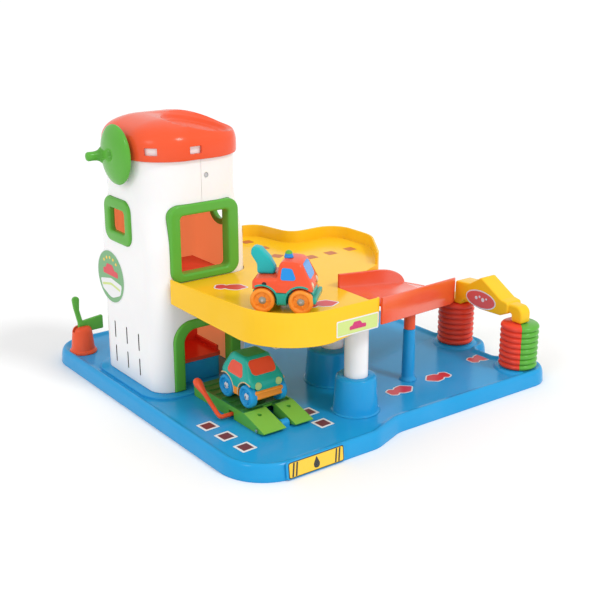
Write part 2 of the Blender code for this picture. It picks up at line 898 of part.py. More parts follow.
def make_roof():
    def ring(z, offset):
        return at_height(
            rectangle(
                TOWER_X,
                TOWER_Y,
                TOWER_HALF_WIDTH + offset,
                TOWER_HALF_DEPTH + offset,
                TOWER_CORNER_HIGH + offset,
                5,
            ),
            z,
        )

    inner = ROOF_OVERHANG - ROOF_WALL
    roof = loft(
        "roof_cap",
        [
            ring(TOWER_TOP + 9 * MM, -20 * MM),
            ring(TOWER_TOP + 6 * MM, -6 * MM),
            ring(TOWER_TOP + GAP, inner),
            ring(ROOF_RIM, inner),
            ring(ROOF_RIM, ROOF_OVERHANG - 0.8 * MM),
            ring(ROOF_RIM + 3 * MM, ROOF_OVERHANG),
            ring(ROOF_RIM + 17 * MM, ROOF_OVERHANG - 0.5 * MM),
            ring(ROOF_RIM + 28 * MM, -1 * MM),
            ring(ROOF_RIM + 36 * MM, -7 * MM),
            ring(ROOF_RIM + 41 * MM, -17 * MM),
            ring(ROOF_TOP, -34 * MM),
        ],
        ORANGE,
    )
    dish = cylinder(
        "roof_dish",
        ROOF_DISH_RADIUS - 5 * MM,
        (ROOF_DISH_X, ROOF_DISH_Y, ROOF_TOP - ROOF_DISH_DEPTH),
        (ROOF_DISH_X + 2 * MM, ROOF_DISH_Y - 1 * MM, ROOF_TOP + 6 * MM),
        end_radius=ROOF_DISH_RADIUS + 3 * MM,
        sides=28,
    )
    notch = cylinder(
        "crank_notch",
        8 * MM,
        (TOWER_LEFT - 20 * MM, CRANK_Y, CRANK_Z),
        (TOWER_LEFT + 0.1 * MM, CRANK_Y, CRANK_Z),
        sides=20,
    )
    notch_foot = box(
        "crank_notch_foot",
        (TOWER_LEFT - 20 * MM, CRANK_Y - 7 * MM, ROOF_RIM - 10 * MM),
        (TOWER_LEFT + 0.1 * MM, CRANK_Y + 7 * MM, CRANK_Z - 1 * MM),
    )
    cut(roof, dish, notch, notch_foot)
    corner = TOWER_CORNER_HIGH
    slant = math.radians(-48)
    vents = (
        (
            TOWER_LEFT + corner + corner * math.sin(slant),
            TOWER_FRONT + corner - corner * math.cos(slant),
            slant,
        ),
        (TOWER_X - 8.5 * MM, TOWER_FRONT, 0),
    )
    for i, (x, y, turn) in enumerate(vents):
        vent = box(
            f"roof_vent_{i}",
            (-8 * MM, -16 * MM, -4.5 * MM),
            (8 * MM, 2.6 * MM, 4.5 * MM),
        )
        vent.location = (x, y, ROOF_RIM + 12 * MM)
        vent.rotation_euler = (0, 0, turn)
        cut(roof, vent)
    smooth(roof)


def make_frames():
    front = TOWER_FRONT - FRAME_PROUD + FRAME_DEPTH
    upper_hole = rectangle(
        DOOR_CENTRE_X,
        (DECK_FLOOR + UPPER_DOOR_RAIL + UPPER_DOOR_TOP - UPPER_DOOR_HEAD) / 2,
        DOOR_WIDTH / 2 - DOOR_JAMB,
        (UPPER_DOOR_TOP - UPPER_DOOR_HEAD - DECK_FLOOR - UPPER_DOOR_RAIL) / 2,
        4 * MM,
        3,
    )
    upper = plate(
        "upper_door_frame",
        [upper_door_outline(), upper_hole],
        FRAME_DEPTH,
        GREEN,
        location=(0, front, 0),
        tilt=UPRIGHT,
    )
    outer = lower_door_outline()
    inner = lower_door_outline(border=DOOR_JAMB)
    arch_outline = outer[1:] + [outer[0]] + [inner[0]] + inner[:0:-1]
    lower = plate(
        "lower_door_frame",
        [arch_outline],
        FRAME_DEPTH,
        GREEN,
        location=(0, front, 0),
        tilt=UPRIGHT,
    )
    window = plate(
        "side_window_frame",
        [window_outline(), window_outline(WINDOW_BORDER)],
        WINDOW_DEPTH,
        GREEN,
        location=(TOWER_LEFT - 3 * MM, 0, 0),
        tilt=SIDEWAYS,
    )
    porthole = plate(
        "porthole_frame",
        [
            circle(PORTHOLE_Y, PORTHOLE_Z, PORTHOLE_RADIUS, 20),
            circle(PORTHOLE_Y, PORTHOLE_Z, PORTHOLE_BORE, 20),
        ],
        WINDOW_DEPTH,
        GREEN,
        location=(TOWER_RIGHT - WINDOW_DEPTH + 2 * MM, 0, 0),
        tilt=SIDEWAYS,
    )
    for frame in (upper, lower, window, porthole):
        bevel(frame, 1.2 * MM, 1)
    smooth(upper, lower, window, porthole)


def make_lift():
    half = PLATFORM_WIDTH / 2
    front = TOWER_FRONT - FRAME_PROUD + FRAME_DEPTH + PLATFORM_CLEARANCE
    back_low = CARRIAGE_BACK_Y - CARRIAGE_BACK_THICK / 2
    back_high = CARRIAGE_BACK_Y + CARRIAGE_BACK_THICK / 2
    top = UPPER_PLATFORM_Z + PLATFORM_THICK
    carriage = box(
        "lift_carriage",
        (TOWER_X - half, back_low, PLATFORM_REST),
        (TOWER_X + half, back_high, top),
        RED,
    )
    shelf_outline = fillet(
        [
            (TOWER_X - half, front, 3 * MM),
            (TOWER_X + half, front, 3 * MM),
            (TOWER_X + half, back_low + 2 * MM, 0),
            (TOWER_X - half, back_low + 2 * MM, 0),
        ],
        3,
    )
    for name, z in (("lower_shelf", PLATFORM_REST), ("upper_shelf", UPPER_PLATFORM_Z)):
        shelf = plate(name, [shelf_outline], PLATFORM_THICK, location=(0, 0, z))
        fuse(carriage, shelf)
    for side in (-1, 1):
        curb = box(
            f"curb_{side + 1}",
            (TOWER_X + side * (half - 1.5 * MM) - 1.5 * MM, front + 6 * MM, PLATFORM_REST + 1 * MM),
            (TOWER_X + side * (half - 1.5 * MM) + 1.5 * MM, back_low + 1 * MM, PLATFORM_REST + 11 * MM),
        )
        fuse(carriage, curb)
    reach = MAST_WIDTH / 2 + MAST_FIT
    sleeve = box(
        "sleeve",
        (TOWER_X - reach - SLEEVE_WALL, back_high - 1 * MM, PLATFORM_REST + 1 * MM),
        (TOWER_X + reach + SLEEVE_WALL, mast_y() + MAST_DEPTH / 2 + MAST_FIT + SLEEVE_WALL, top - 1 * MM),
    )
    sleeve_bore = box(
        "sleeve_bore",
        (TOWER_X - reach, mast_y() - MAST_DEPTH / 2 - MAST_FIT, 0),
        (TOWER_X + reach, mast_y() + MAST_DEPTH / 2 + MAST_FIT, top + 10 * MM),
    )
    eye = box(
        "cord_eye",
        (TOWER_X - 4 * MM, CARRIAGE_BACK_Y - 2.5 * MM, top - 1 * MM),
        (TOWER_X + 4 * MM, CARRIAGE_BACK_Y + 2.5 * MM, top + 6 * MM),
    )
    fuse(carriage, sleeve, eye)
    cut(carriage, sleeve_bore)
    move_origin(carriage, (TOWER_X, CARRIAGE_BACK_Y, PLATFORM_REST))
    box(
        "lift_mast",
        (TOWER_X - MAST_WIDTH / 2, mast_y() - MAST_DEPTH / 2, PLATFORM_REST - MAST_SOCKET + GAP),
        (TOWER_X + MAST_WIDTH / 2, mast_y() + MAST_DEPTH / 2, TOWER_TOP + 9 * MM - GAP),
        WHITE,
    )
    cylinder(
        "hoist_cord",
        CORD_RADIUS,
        (TOWER_X, CARRIAGE_BACK_Y, top + 6 * MM + GAP),
        (TOWER_X, CARRIAGE_BACK_Y, CRANK_Z),
        CORD,
        sides=8,
    )


def make_crank():
    into_tower = TOWER_RIGHT - TOWER_WALL - 1.2 * MM - CRANK_PLANE_X
    hub_end = TOWER_LEFT - GAP - CRANK_PLANE_X
    handle = turned(
        "crank_handle",
        [
            (0, 5.5 * MM),
            (5 * MM, 5.5 * MM),
            (6.5 * MM, 8.5 * MM),
            (18 * MM, 7.2 * MM),
            (30 * MM, 4.2 * MM),
            (35 * MM, 1.6 * MM),
            (CRANK_RADIUS, -0.4 * MM),
            (35 * MM, -2.5 * MM),
            (6.5 * MM, -2.5 * MM),
            (6.5 * MM, -hub_end),
            (SHAFT_RADIUS, -hub_end),
            (SHAFT_RADIUS, -into_tower),
            (0, -into_tower),
        ],
        GREEN,
        steps=24,
        location=(CRANK_PLANE_X, CRANK_Y, CRANK_Z),
        tilt=(0, -QUARTER, 0),
    )
    peg = turned(
        "crank_peg",
        [
            (0, CRANK_PEG_REACH),
            (4 * MM, CRANK_PEG_REACH),
            (5.6 * MM, CRANK_PEG_REACH - 1.8 * MM),
            (5.4 * MM, 15 * MM),
            (6.6 * MM, 9 * MM),
            (10 * MM, 4 * MM),
            (10 * MM, 0),
            (0, 0),
        ],
        steps=18,
        location=(CRANK_PLANE_X, CRANK_Y + CRANK_PEG_OFFSET, CRANK_Z - CRANK_PEG_DROP),
        tilt=(0, -QUARTER, 0),
    )
    fuse(handle, peg)
    half = DRUM_WIDTH / 2
    bore = SHAFT_RADIUS + GAP
    drum = turned(
        "winding_drum",
        [
            (bore, half),
            (DRUM_FLANGE_RADIUS, half),
            (DRUM_FLANGE_RADIUS, half - 2 * MM),
            (DRUM_RADIUS, half - 2 * MM),
            (DRUM_RADIUS, 2 * MM - half),
            (DRUM_FLANGE_RADIUS, 2 * MM - half),
            (DRUM_FLANGE_RADIUS, -half),
            (bore, -half),
        ],
        WHITE,
        steps=24,
        closed=True,
        location=(TOWER_X, CRANK_Y, CRANK_Z),
        tilt=(0, -QUARTER, 0),
    )
    smooth(handle, drum)


def road_near(x):
    return ROAD_NEAR_Y + ROAD_SLEW * (x - DECK_END_X)


def road_far(x):
    share = (x - DECK_END_X) / (ROAD_END_X - DECK_END_X)
    return road_near(x) + mix(ROAD_WIDTH, ROAD_END_WIDTH, share)


def deck_outline():
    """Plan of the deck, counter-clockwise, wrapping the tower's front corner."""
    side = TOWER_RIGHT + 1.2 * MM
    return fillet(
        [
            (DECK_LEFT, TOWER_FRONT - 1.2 * MM, 5 * MM),
            (DECK_LEFT + 18 * MM, DECK_FRONT, 78 * MM),
            (DECK_END_X, DECK_FRONT, 3.8 * MM),
            (DECK_END_X, road_far(DECK_END_X) + 2 * GAP, 0),
            (DECK_TURN_X, road_far(DECK_TURN_X) + 2 * GAP, 20 * MM),
            (DECK_BAY_RIGHT, -25 * MM, 50 * MM),
            (DECK_BAY_RIGHT, DECK_BAY_REAR, 34 * MM),
            (DECK_WING_RIGHT + 11 * MM, DECK_BAY_REAR, 20 * MM),
            (DECK_WING_RIGHT, DECK_WING_REAR, 26 * MM),
            (side, DECK_WING_REAR, 5 * MM),
            (side, TOWER_FRONT - 1.2 * MM, TOWER_CORNER_LOW + 1.2 * MM),
        ],
        5,
    )


def deck_skirt(x, y):
    """The skirt's lower edge rises towards the tower and the road."""
    near_tower = (y - TOWER_FRONT + 75 * MM) / (75 * MM)
    near_road = (x - DECK_END_X + 75 * MM) / (75 * MM)
    share = min(max(near_tower, near_road, 0.0), 1.0)
    return DECK_SKIRT_LOW + DECK_SKIRT_RISE * share


def edge_band(outline, start, stop, width):
    """A strip along part of an outline, between it and its inset."""
    inner = inset(outline, width)
    return outline[start:stop] + inner[start:stop][::-1]


def make_deck():
    """A flat floor on a deep skirt, with a kerb and a higher rear wall on it."""
    outline = deck_outline()
    inner = inset(outline, DECK_WALL)
    under = DECK_FLOOR - DECK_PLATE
    deck = plate("upper_deck", [outline], DECK_PLATE, YELLOW, location=(0, 0, under))
    skirt = loft(
        "deck_skirt",
        [
            at_height(outline, under - GAP),
            [(x, y, deck_skirt(x, y)) for x, y in outline],
            [(x, y, deck_skirt(x, y)) for x, y in inner],
            at_height(inner, under - GAP),
        ],
        YELLOW,
        hoop=True,
    )
    seat = DECK_FLOOR + GAP
    entry = road_far(DECK_END_X)
    lip_end = next(i for i, p in enumerate(outline) if abs(p[0] - DECK_END_X) < 1e-6 and p[1] > entry)
    kerb = plate(
        "deck_kerb",
        [edge_band(outline, 3, lip_end, DECK_WALL)],
        DECK_LIP - seat,
        YELLOW,
        location=(0, 0, seat),
    )
    wing = DECK_WING_REAR - 4 * MM
    wall_end = next(i for i, p in enumerate(outline) if p[0] < TOWER_RIGHT + 4 * MM and p[1] > wing)
    wall = plate(
        "deck_rear_wall",
        [edge_band(outline, lip_end + 1, wall_end, DECK_WALL)],
        DECK_REAR_WALL - seat,
        YELLOW,
        location=(0, 0, seat),
    )
    half = 12 * MM
    pads = (
        ("front_pad", FRONT_COLUMN, min(FRONT_COLUMN[0] + half, DECK_END_X - DECK_WALL - GAP)),
        ("rear_pad", REAR_COLUMN, REAR_COLUMN[0] + half),
    )
    for name, (x, y), right in pads:
        pad = box(name, (x - half, y - half, COLUMN_TOP + GAP), (right, y + half, DECK_FLOOR - 1 * MM))
        fuse(deck, pad)
    relief = cylinder(
        "column_relief",
        COLUMN_RADIUS + 2 * GAP,
        (*FRONT_COLUMN, 100 * MM),
        (*FRONT_COLUMN, COLUMN_TOP + GAP),
        sides=20,
    )
    cut(skirt, relief)
    smooth(deck, skirt, kerb, wall)
    for name, place in (("deck_column_front", FRONT_COLUMN), ("deck_column_rear", REAR_COLUMN)):
        column = cylinder(
            name,
            COLUMN_RADIUS,
            (*place, COLUMN_BOSS_TOP - COLUMN_SOCKET + GAP),
            (*place, COLUMN_TOP),
            WHITE,
            end_radius=COLUMN_RADIUS - 0.2 * MM,
            sides=20,
        )
        smooth(column)


def road_floor(x):
    start = DECK_END_X + GAP
    if x < ROAD_BREAK_X:
        return DECK_FLOOR - ROAD_FALL * (x - start)
    return road_floor(ROAD_BREAK_X - 1e-9) - ROAD_LATE_FALL * (x - ROAD_BREAK_X)


def road_section(x):
    """Cross-section of the road's channel at one station along X."""
    run = x - DECK_END_X
    near = road_near(x)
    far = road_far(x)
    floor = road_floor(x)
    near_top = DECK_LIP - 0.214 * run
    near_foot = max(min(136 * MM - 0.235 * run, floor - 5 * MM), ROLLER_TOP + 2 * GAP)
    far_share = (x - 62 * MM) / (ROAD_BREAK_X - 62 * MM)
    far_top = floor + mix(17 * MM, 20 * MM, (x - DECK_END_X) / (100 * MM))
    if far_share > 0:
        far_top = floor + 1.2 * MM + 18.8 * MM * math.sqrt(max(0.0, 1 - far_share**2))
    far_foot = floor - 8 * MM
    return [
        (x, near, near_foot),
        (x, near, near_top - 1 * MM),
        (x, near + 1 * MM, near_top),
        (x, near + ROAD_WALL, near_top),
        (x, near + ROAD_WALL, floor),
        (x, far - ROAD_WALL, floor),
        (x, far - ROAD_WALL, far_top),
        (x, far - 1 * MM, far_top),
        (x, far, far_top - 1 * MM),
        (x, far, far_foot),
        (x, far - ROAD_WALL, far_foot),
        (x, far - ROAD_WALL, floor - 3 * MM),
        (x, near + ROAD_WALL, floor - 3 * MM),
        (x, near + ROAD_WALL, near_foot),
    ]


def make_road():
    start = DECK_END_X + GAP
    stations = [start]
    stations += [x * MM for x in (0, 40, 62, 85, 105, 118, 126)]
    stations += [ROAD_BREAK_X, ROAD_BREAK_X + 20 * MM, ROAD_END_X]
    road = loft("exit_road", [road_section(x) for x in stations], ORANGE)
    column_relief = cylinder(
        "road_relief",
        COLUMN_RADIUS + 2 * GAP,
        (*FRONT_COLUMN, 100 * MM),
        (*FRONT_COLUMN, COLUMN_TOP + GAP),
        sides=20,
    )
    cut(road, column_relief)
    leg = cylinder(
        "road_leg",
        ROAD_POST_RADIUS - 0.5 * MM,
        (*ROAD_POST, ROAD_POST_TOP + GAP),
        (*ROAD_POST, road_floor(ROAD_POST[0]) - 2 * MM),
        sides=20,
    )
    fuse(road, leg)
    smooth(road)


def make_arch():
    low = ROLLER_TOP + GAP
    rear = ROLLER_REAR_Y
    front = ROLLER_FRONT_Y
    middle = (rear + front) / 2
    outline = fillet(
        [
            (rear + 18 * MM, low, 0),
            (rear + 18 * MM, low + 5 * MM, 2 * MM),
            (rear - 7 * MM, low + 5 * MM, 0),
            (rear - 7 * MM, ROLLER_TOP + 32 * MM, 3 * MM),
            (rear - 33 * MM, ROLLER_TOP + 34 * MM, 14 * MM),
            (middle + 4 * MM, ROLLER_TOP + ARCH_CREST, 4 * MM),
            (front + 25 * MM, ROLLER_TOP + 26 * MM, 5 * MM),
            (front + 13 * MM, ROLLER_TOP + 24 * MM, 4 * MM),
            (front + 13 * MM, ROLLER_TOP + 10 * MM, 4 * MM),
            (front + 26 * MM, ROLLER_TOP + 4 * MM, 5 * MM),
            (middle + 5 * MM, ROLLER_TOP + 3 * MM, 8 * MM),
            (rear - 25 * MM, ROLLER_TOP + 8 * MM, 4 * MM),
            (rear - 17 * MM, low, 2 * MM),
        ],
        3,
    )
    arch = plate("wash_arch", [outline], ARCH_DEPTH, YELLOW, location=(ARCH_X, 0, 0), tilt=SIDEWAYS)
    leg_outline = fillet(
        [
            (front + 23 * MM, ROLLER_TOP + 10 * MM, 0),
            (front + 23 * MM, ROLLER_TOP + 23 * MM, 0),
            (front - ARCH_LEG / 2, ROLLER_TOP + 23 * MM, 11 * MM),
            (front - ARCH_LEG / 2, low, 0),
            (front + ARCH_LEG / 2, low, 0),
            (front + ARCH_LEG / 2, ROLLER_TOP + 10 * MM, 2 * MM),
        ],
        4,
    )
    leg = plate(
        "arch_leg",
        [leg_outline],
        ARCH_LEG,
        location=(ROLLER_X - ARCH_LEG / 2, 0, 0),
        tilt=SIDEWAYS,
    )
    bevel(leg, 3 * MM, 2, 50)
    fuse(arch, leg)
    for y in (ROLLER_REAR_Y, ROLLER_FRONT_Y):
        bore = cylinder(
            "arch_bore",
            ROLLER_AXLE_RADIUS + SHAFT_FIT,
            (ROLLER_X, y, low - 5 * MM),
            (ROLLER_X, y, low + ARCH_SOCKET),
            sides=16,
        )
        cut(arch, bore)
    smooth(arch)


def roller_profile():
    """Outer side top to bottom with round ribs, then up inside the shell."""
    height = ROLLER_TOP - ROLLER_BOTTOM
    pitch = height / ROLLER_RIBS
    points = []
    for rib in range(ROLLER_RIBS):
        top = height - rib * pitch
        for share, radius in ((0.04, ROLLER_GROOVE), (0.3, ROLLER_RADIUS), (0.7, ROLLER_RADIUS)):
            points.append((radius, top - share * pitch))
    points.append((ROLLER_GROOVE, 0.0))
    bore = ROLLER_AXLE_RADIUS + GAP
    wall = ROLLER_GROOVE - ROLLER_SHELL
    points += [
        (bore, 0.0),
        (bore, ROLLER_SHELL),
        (wall, ROLLER_SHELL),
        (wall, height - ROLLER_SHELL),
        (bore, height - ROLLER_SHELL),
        (bore, height - 0.04 * pitch),
    ]
    return points


def make_roller(name, y, seam_angle):
    """Two clam-shell halves on one axle; the seam's angle is its plan angle."""
    for half, side, material in (("red", -1, RED), ("green", 1, GREEN)):
        shell = turned(
            f"{name}_{half}_half",
            roller_profile(),
            material,
            steps=12,
            closed=True,
            location=(ROLLER_X, y, ROLLER_BOTTOM),
            tilt=(0, 0, seam_angle),
        )
        low = GAP / 2 if side > 0 else -60 * MM
        high = 60 * MM if side > 0 else -GAP / 2
        keep = box(f"{name}_{half}_keep", (-60 * MM, low, -10 * MM), (60 * MM, high, 90 * MM))
        keep.location = shell.location
        keep.rotation_euler = shell.rotation_euler
        boolean(shell, keep, "INTERSECT")
        smooth(shell)
    axle = cylinder(
        f"{name}_axle",
        ROLLER_AXLE_RADIUS,
        (ROLLER_X, y, AXLE_SEAT_Z + GAP),
        (ROLLER_X, y, ROLLER_TOP + ARCH_SOCKET),
        WHITE,
        sides=14,
    )
    move_origin(axle, (ROLLER_X, y, ROLLER_BOTTOM))
    smooth(axle)


def make_barrier():
    foot = BASE_FLOOR + GAP
    top = foot + BARRIER_POST_HEIGHT
    post = turned(
        "barrier_post",
        [
            (0, top),
            (7 * MM, top),
            (11.5 * MM, top - 2.5 * MM),
            (13.5 * MM, top - 7 * MM),
            (15.5 * MM, foot + 9 * MM),
            (BARRIER_FOOT_RADIUS - 1.5 * MM, foot + 4 * MM),
            (BARRIER_FOOT_RADIUS, foot + 2 * MM),
            (BARRIER_FOOT_RADIUS, foot),
            (0, foot),
        ],
        ORANGE,
        steps=24,
        location=(BARRIER_X, BARRIER_Y, 0),
    )
    slot = box(
        "barrier_slot",
        (BARRIER_X - BARRIER_SLOT_REACH, BARRIER_Y - BARRIER_SLOT / 2, BARRIER_PIVOT_Z - 10 * MM),
        (BARRIER_X + 30 * MM, BARRIER_Y + BARRIER_SLOT / 2, top + 10 * MM),
    )
    stem_slot = box(
        "barrier_stem_slot",
        (BARRIER_X - 30 * MM, BARRIER_Y - BARRIER_SLOT / 2, BARRIER_PIVOT_Z + 1.5 * MM),
        (BARRIER_X, BARRIER_Y + BARRIER_SLOT / 2, top + 10 * MM),
    )
    pin_hole = cylinder(
        "barrier_pin_hole",
        BARRIER_PIN_RADIUS + GAP,
        (BARRIER_X, BARRIER_Y - 30 * MM, BARRIER_PIVOT_Z),
        (BARRIER_X, BARRIER_Y + 30 * MM, BARRIER_PIVOT_Z),
        sides=12,
    )
    cut(post, slot, stem_slot, pin_hole)
    outline = fillet(
        [
            (-5.5 * MM, -5.5 * MM, 5 * MM),
            (5.5 * MM, -5.5 * MM, 5 * MM),
            (9 * MM, 0, 4 * MM),
            (31 * MM, 0, 1.5 * MM),
            (31 * MM, 19.5 * MM, 1.5 * MM),
            (8 * MM, 17 * MM, 3 * MM),
            (1 * MM, 16 * MM, 3 * MM),
            (-3 * MM, 33 * MM, 8 * MM),
            (-1.5 * MM, 52 * MM, 4.7 * MM),
            (-12.5 * MM, 52 * MM, 4.7 * MM),
            (-10.5 * MM, 36 * MM, 8 * MM),
            (-5.5 * MM, 14 * MM, 3 * MM),
        ],
        3,
    )
    lever = plate(
        "barrier_lever",
        [outline, circle(0, 0, BARRIER_PIN_RADIUS + GAP, 12)],
        BARRIER_PLATE,
        GREEN,
        location=(BARRIER_X, BARRIER_Y + BARRIER_PLATE / 2, BARRIER_PIVOT_Z),
        tilt=UPRIGHT,
    )
    bevel(lever, 0.8 * MM, 1, 60)
    pin = cylinder(
        "barrier_pin",
        BARRIER_PIN_RADIUS,
        (BARRIER_X, BARRIER_Y - 12 * MM, BARRIER_PIVOT_Z),
        (BARRIER_X, BARRIER_Y + 12 * MM, BARRIER_PIVOT_Z),
        STEEL,
        sides=12,
    )
    smooth(post, lever, pin)


def make_ramp():
    """An inverted tray with two tongues; it tilts about a pin near its tips."""
    foot = BASE_FLOOR + GAP
    width = RAMP_RIGHT - RAMP_LEFT
    side = [
        (RAMP_TIP_Y, foot + 3.3 * MM),
        (RAMP_PIVOT_Y + 2 * MM, foot),
        (RAMP_REAR_Y, foot),
        (RAMP_REAR_Y, RAMP_TOP),
        (RAMP_KNEE_Y, RAMP_TOP),
        (RAMP_TIP_Y, foot + 4.7 * MM),
    ]
    ramp = plate("service_ramp", [side], width, GREEN, location=(RAMP_LEFT, 0, 0), tilt=SIDEWAYS)
    surface = RAMP_TOP - RAMP_CURB
    hollow = box(
        "ramp_hollow",
        (RAMP_LEFT + RAMP_WALL, RAMP_KNEE_Y + 4 * MM, 0),
        (RAMP_RIGHT - RAMP_WALL, RAMP_REAR_Y - 4 * MM, surface - 3 * MM),
    )
    recess = box(
        "ramp_recess",
        (RAMP_LEFT + 3 * MM, RAMP_KNEE_Y + 1.5 * MM, surface),
        (RAMP_RIGHT - 3 * MM, RAMP_REAR_Y + 10 * MM, RAMP_TOP + 5 * MM),
    )
    slot = box(
        "ramp_slot",
        (RAMP_SLOT_LEFT, RAMP_TIP_Y - 5 * MM, 0),
        (RAMP_SLOT_RIGHT, RAMP_KNEE_Y + 8 * MM, RAMP_TOP + 5 * MM),
    )
    shaft_notch = box(
        "shaft_notch",
        (RAMP_LEFT - 5 * MM, LEVER_Y - 5 * MM, 0),
        (RAMP_LEFT + 5 * MM, LEVER_Y + 5 * MM, LEVER_Z + LEVER_RADIUS + 1.4 * MM),
    )
    pin_bore = cylinder(
        "ramp_pin_bore",
        RAMP_PIN_RADIUS + GAP,
        (RAMP_LEFT - 5 * MM, RAMP_PIVOT_Y, RAMP_PIVOT_Z),
        (RAMP_RIGHT + 5 * MM, RAMP_PIVOT_Y, RAMP_PIVOT_Z),
        sides=12,
    )
    cut(ramp, hollow, recess, slot, shaft_notch, pin_bore)
    for i, x in enumerate(((RAMP_LEFT + RAMP_SLOT_LEFT) / 2, (RAMP_RIGHT + RAMP_SLOT_RIGHT) / 2)):
        y = RAMP_KNEE_Y - 9 * MM
        hole = cylinder(f"tongue_hole_{i}", 2.6 * MM, (x, y, 0), (x, y, RAMP_TOP + 5 * MM), sides=14)
        cut(ramp, hole)
    for i in range(RAMP_RIBS):
        y = RAMP_RIB_FRONT + i * RAMP_RIB_PITCH
        rib = box(
            f"ramp_rib_{i}",
            (RAMP_LEFT + 2 * MM, y - 1.4 * MM, surface - 1 * MM),
            (RAMP_RIGHT - 2 * MM, y + 1.4 * MM, RAMP_RIB_TOP),
        )
        fuse(ramp, rib)
    move_origin_upright(ramp, (RAMP_LEFT, RAMP_PIVOT_Y, RAMP_PIVOT_Z))
    cylinder(
        "ramp_pin",
        RAMP_PIN_RADIUS,
        (RAMP_LEFT - 1.5 * MM, RAMP_PIVOT_Y, RAMP_PIVOT_Z),
        (RAMP_RIGHT + 1.5 * MM, RAMP_PIVOT_Y, RAMP_PIVOT_Z),
        STEEL,
        sides=12,
    )
    rise = Vector((0, math.cos(LEVER_SLOPE), math.sin(LEVER_SLOPE)))
    hinge = Vector((LEVER_PLANE_X, LEVER_Y, LEVER_Z))
    bend = 5 * MM
    path = [
        Vector((LEVER_INNER_X, LEVER_Y, LEVER_Z)),
        Vector((LEVER_PLANE_X + bend, LEVER_Y, LEVER_Z)),
        hinge + Vector((bend * 0.3, 0, 0)) + rise * bend * 0.3,
        hinge + rise * bend,
        hinge + rise * LEVER_REACH * 0.5,
        hinge + rise * LEVER_REACH * 0.72,
        hinge + rise * LEVER_REACH * 0.86,
        hinge + rise * LEVER_REACH * 0.97,
        hinge + rise * (LEVER_REACH + 4 * MM),
    ]
    lever = tube("ramp_lever", path, (1, 1, 1, 1.05, 1.1, 1.7, 2.1, 1.8, 0.7), LEVER_RADIUS, ORANGE)
    finger = box(
        "lever_finger",
        (LEVER_INNER_X - 16 * MM, LEVER_Y - 14 * MM, LEVER_Z - 1.6 * MM),
        (LEVER_INNER_X - 8 * MM, LEVER_Y + 1 * MM, LEVER_Z + 5 * MM),
    )
    fuse(lever, finger)
    move_origin(lever, (LEVER_PLANE_X, LEVER_Y, LEVER_Z))
    smooth(lever)


def move_origin_upright(item, point):
    """As move_origin, for a shape built with its own tilt."""
    shift = Vector(point) - item.location
    local = item.rotation_euler.to_matrix().inverted() @ shift
    item.data.transform(Matrix.Translation(-local))
    item.location = Vector(point)


def wheel_places():
    for end, x in (("front", WHEEL_BASE / 2), ("rear", -WHEEL_BASE / 2)):
        for hand, side in (("left", 1), ("right", -1)):
            yield f"{end}_{hand}_wheel", x, side


def make_running_gear(name, parent, wheel_material):
    """Two axles with a turned wheel on each end, on the car's own frame."""
    half = WHEEL_WIDTH / 2
    hub = WHEEL_RADIUS * 0.34
    profile = [
        (CAR_AXLE_RADIUS + 0.05 * MM, half - 1 * MM),
        (hub, half - 1 * MM),
        (hub + 1 * MM, half - 2.6 * MM),
        (WHEEL_RADIUS * 0.64, half - 2.6 * MM),
        (WHEEL_RADIUS * 0.72, half),
        (WHEEL_RADIUS - 1.6 * MM, half),
        (WHEEL_RADIUS, half - 2 * MM),
        (WHEEL_RADIUS - 0.8 * MM, -half),
        (CAR_AXLE_RADIUS + 0.05 * MM, -half),
    ]
    for label, x, side in wheel_places():
        wheel = turned(
            f"{name}_{label}",
            profile,
            wheel_material,
            parent,
            steps=16,
            closed=True,
            location=(x, side * WHEEL_TRACK / 2, WHEEL_RADIUS),
            tilt=(-side * QUARTER, 0, 0),
        )
        smooth(wheel)
    for end, x in (("front", WHEEL_BASE / 2), ("rear", -WHEEL_BASE / 2)):
        reach = WHEEL_TRACK / 2 + half - 0.6 * MM
        cylinder(
            f"{name}_{end}_axle",
            CAR_AXLE_RADIUS,
            (x, -reach, WHEEL_RADIUS),
            (x, reach, WHEEL_RADIUS),
            STEEL,
            parent,
            sides=12,
        )


def make_chassis(name, parent, material, skirt_top):
    """Lower body with wheel arches and bores for both axles."""
    half = CAR_LENGTH / 2
    side = fillet(
        [
            (-half, 9 * MM, 3 * MM),
            (half, 9 * MM, 4 * MM),
            (half, skirt_top, 3 * MM),
            (-half, skirt_top, 3 * MM),
        ],
        3,
    )
    chassis = plate(
        f"{name}_chassis",
        [side],
        CAR_WIDTH,
        material,
        parent,
        location=(0, CAR_WIDTH / 2, 0),
        tilt=UPRIGHT,
    )
    bevel(chassis, 2.5 * MM, 1, 60)
    well_inner = WHEEL_TRACK / 2 - WHEEL_WIDTH / 2 - 1 * MM
    for label, x, side in wheel_places():
        well = cylinder(
            f"{name}_{label}_well",
            WHEEL_ARCH,
            (x, side * well_inner, WHEEL_RADIUS),
            (x, side * 40 * MM, WHEEL_RADIUS),
            parent=parent,
            sides=20,
        )
        cut(chassis, well)
    for i, x in enumerate((WHEEL_BASE / 2, -WHEEL_BASE / 2)):
        bore = cylinder(
            f"{name}_axle_bore_{i}",
            CAR_AXLE_RADIUS + SHAFT_FIT,
            (x, -40 * MM, WHEEL_RADIUS),
            (x, 40 * MM, WHEEL_RADIUS),
            parent=parent,
            sides=12,
        )
        cut(chassis, bore)
    return chassis


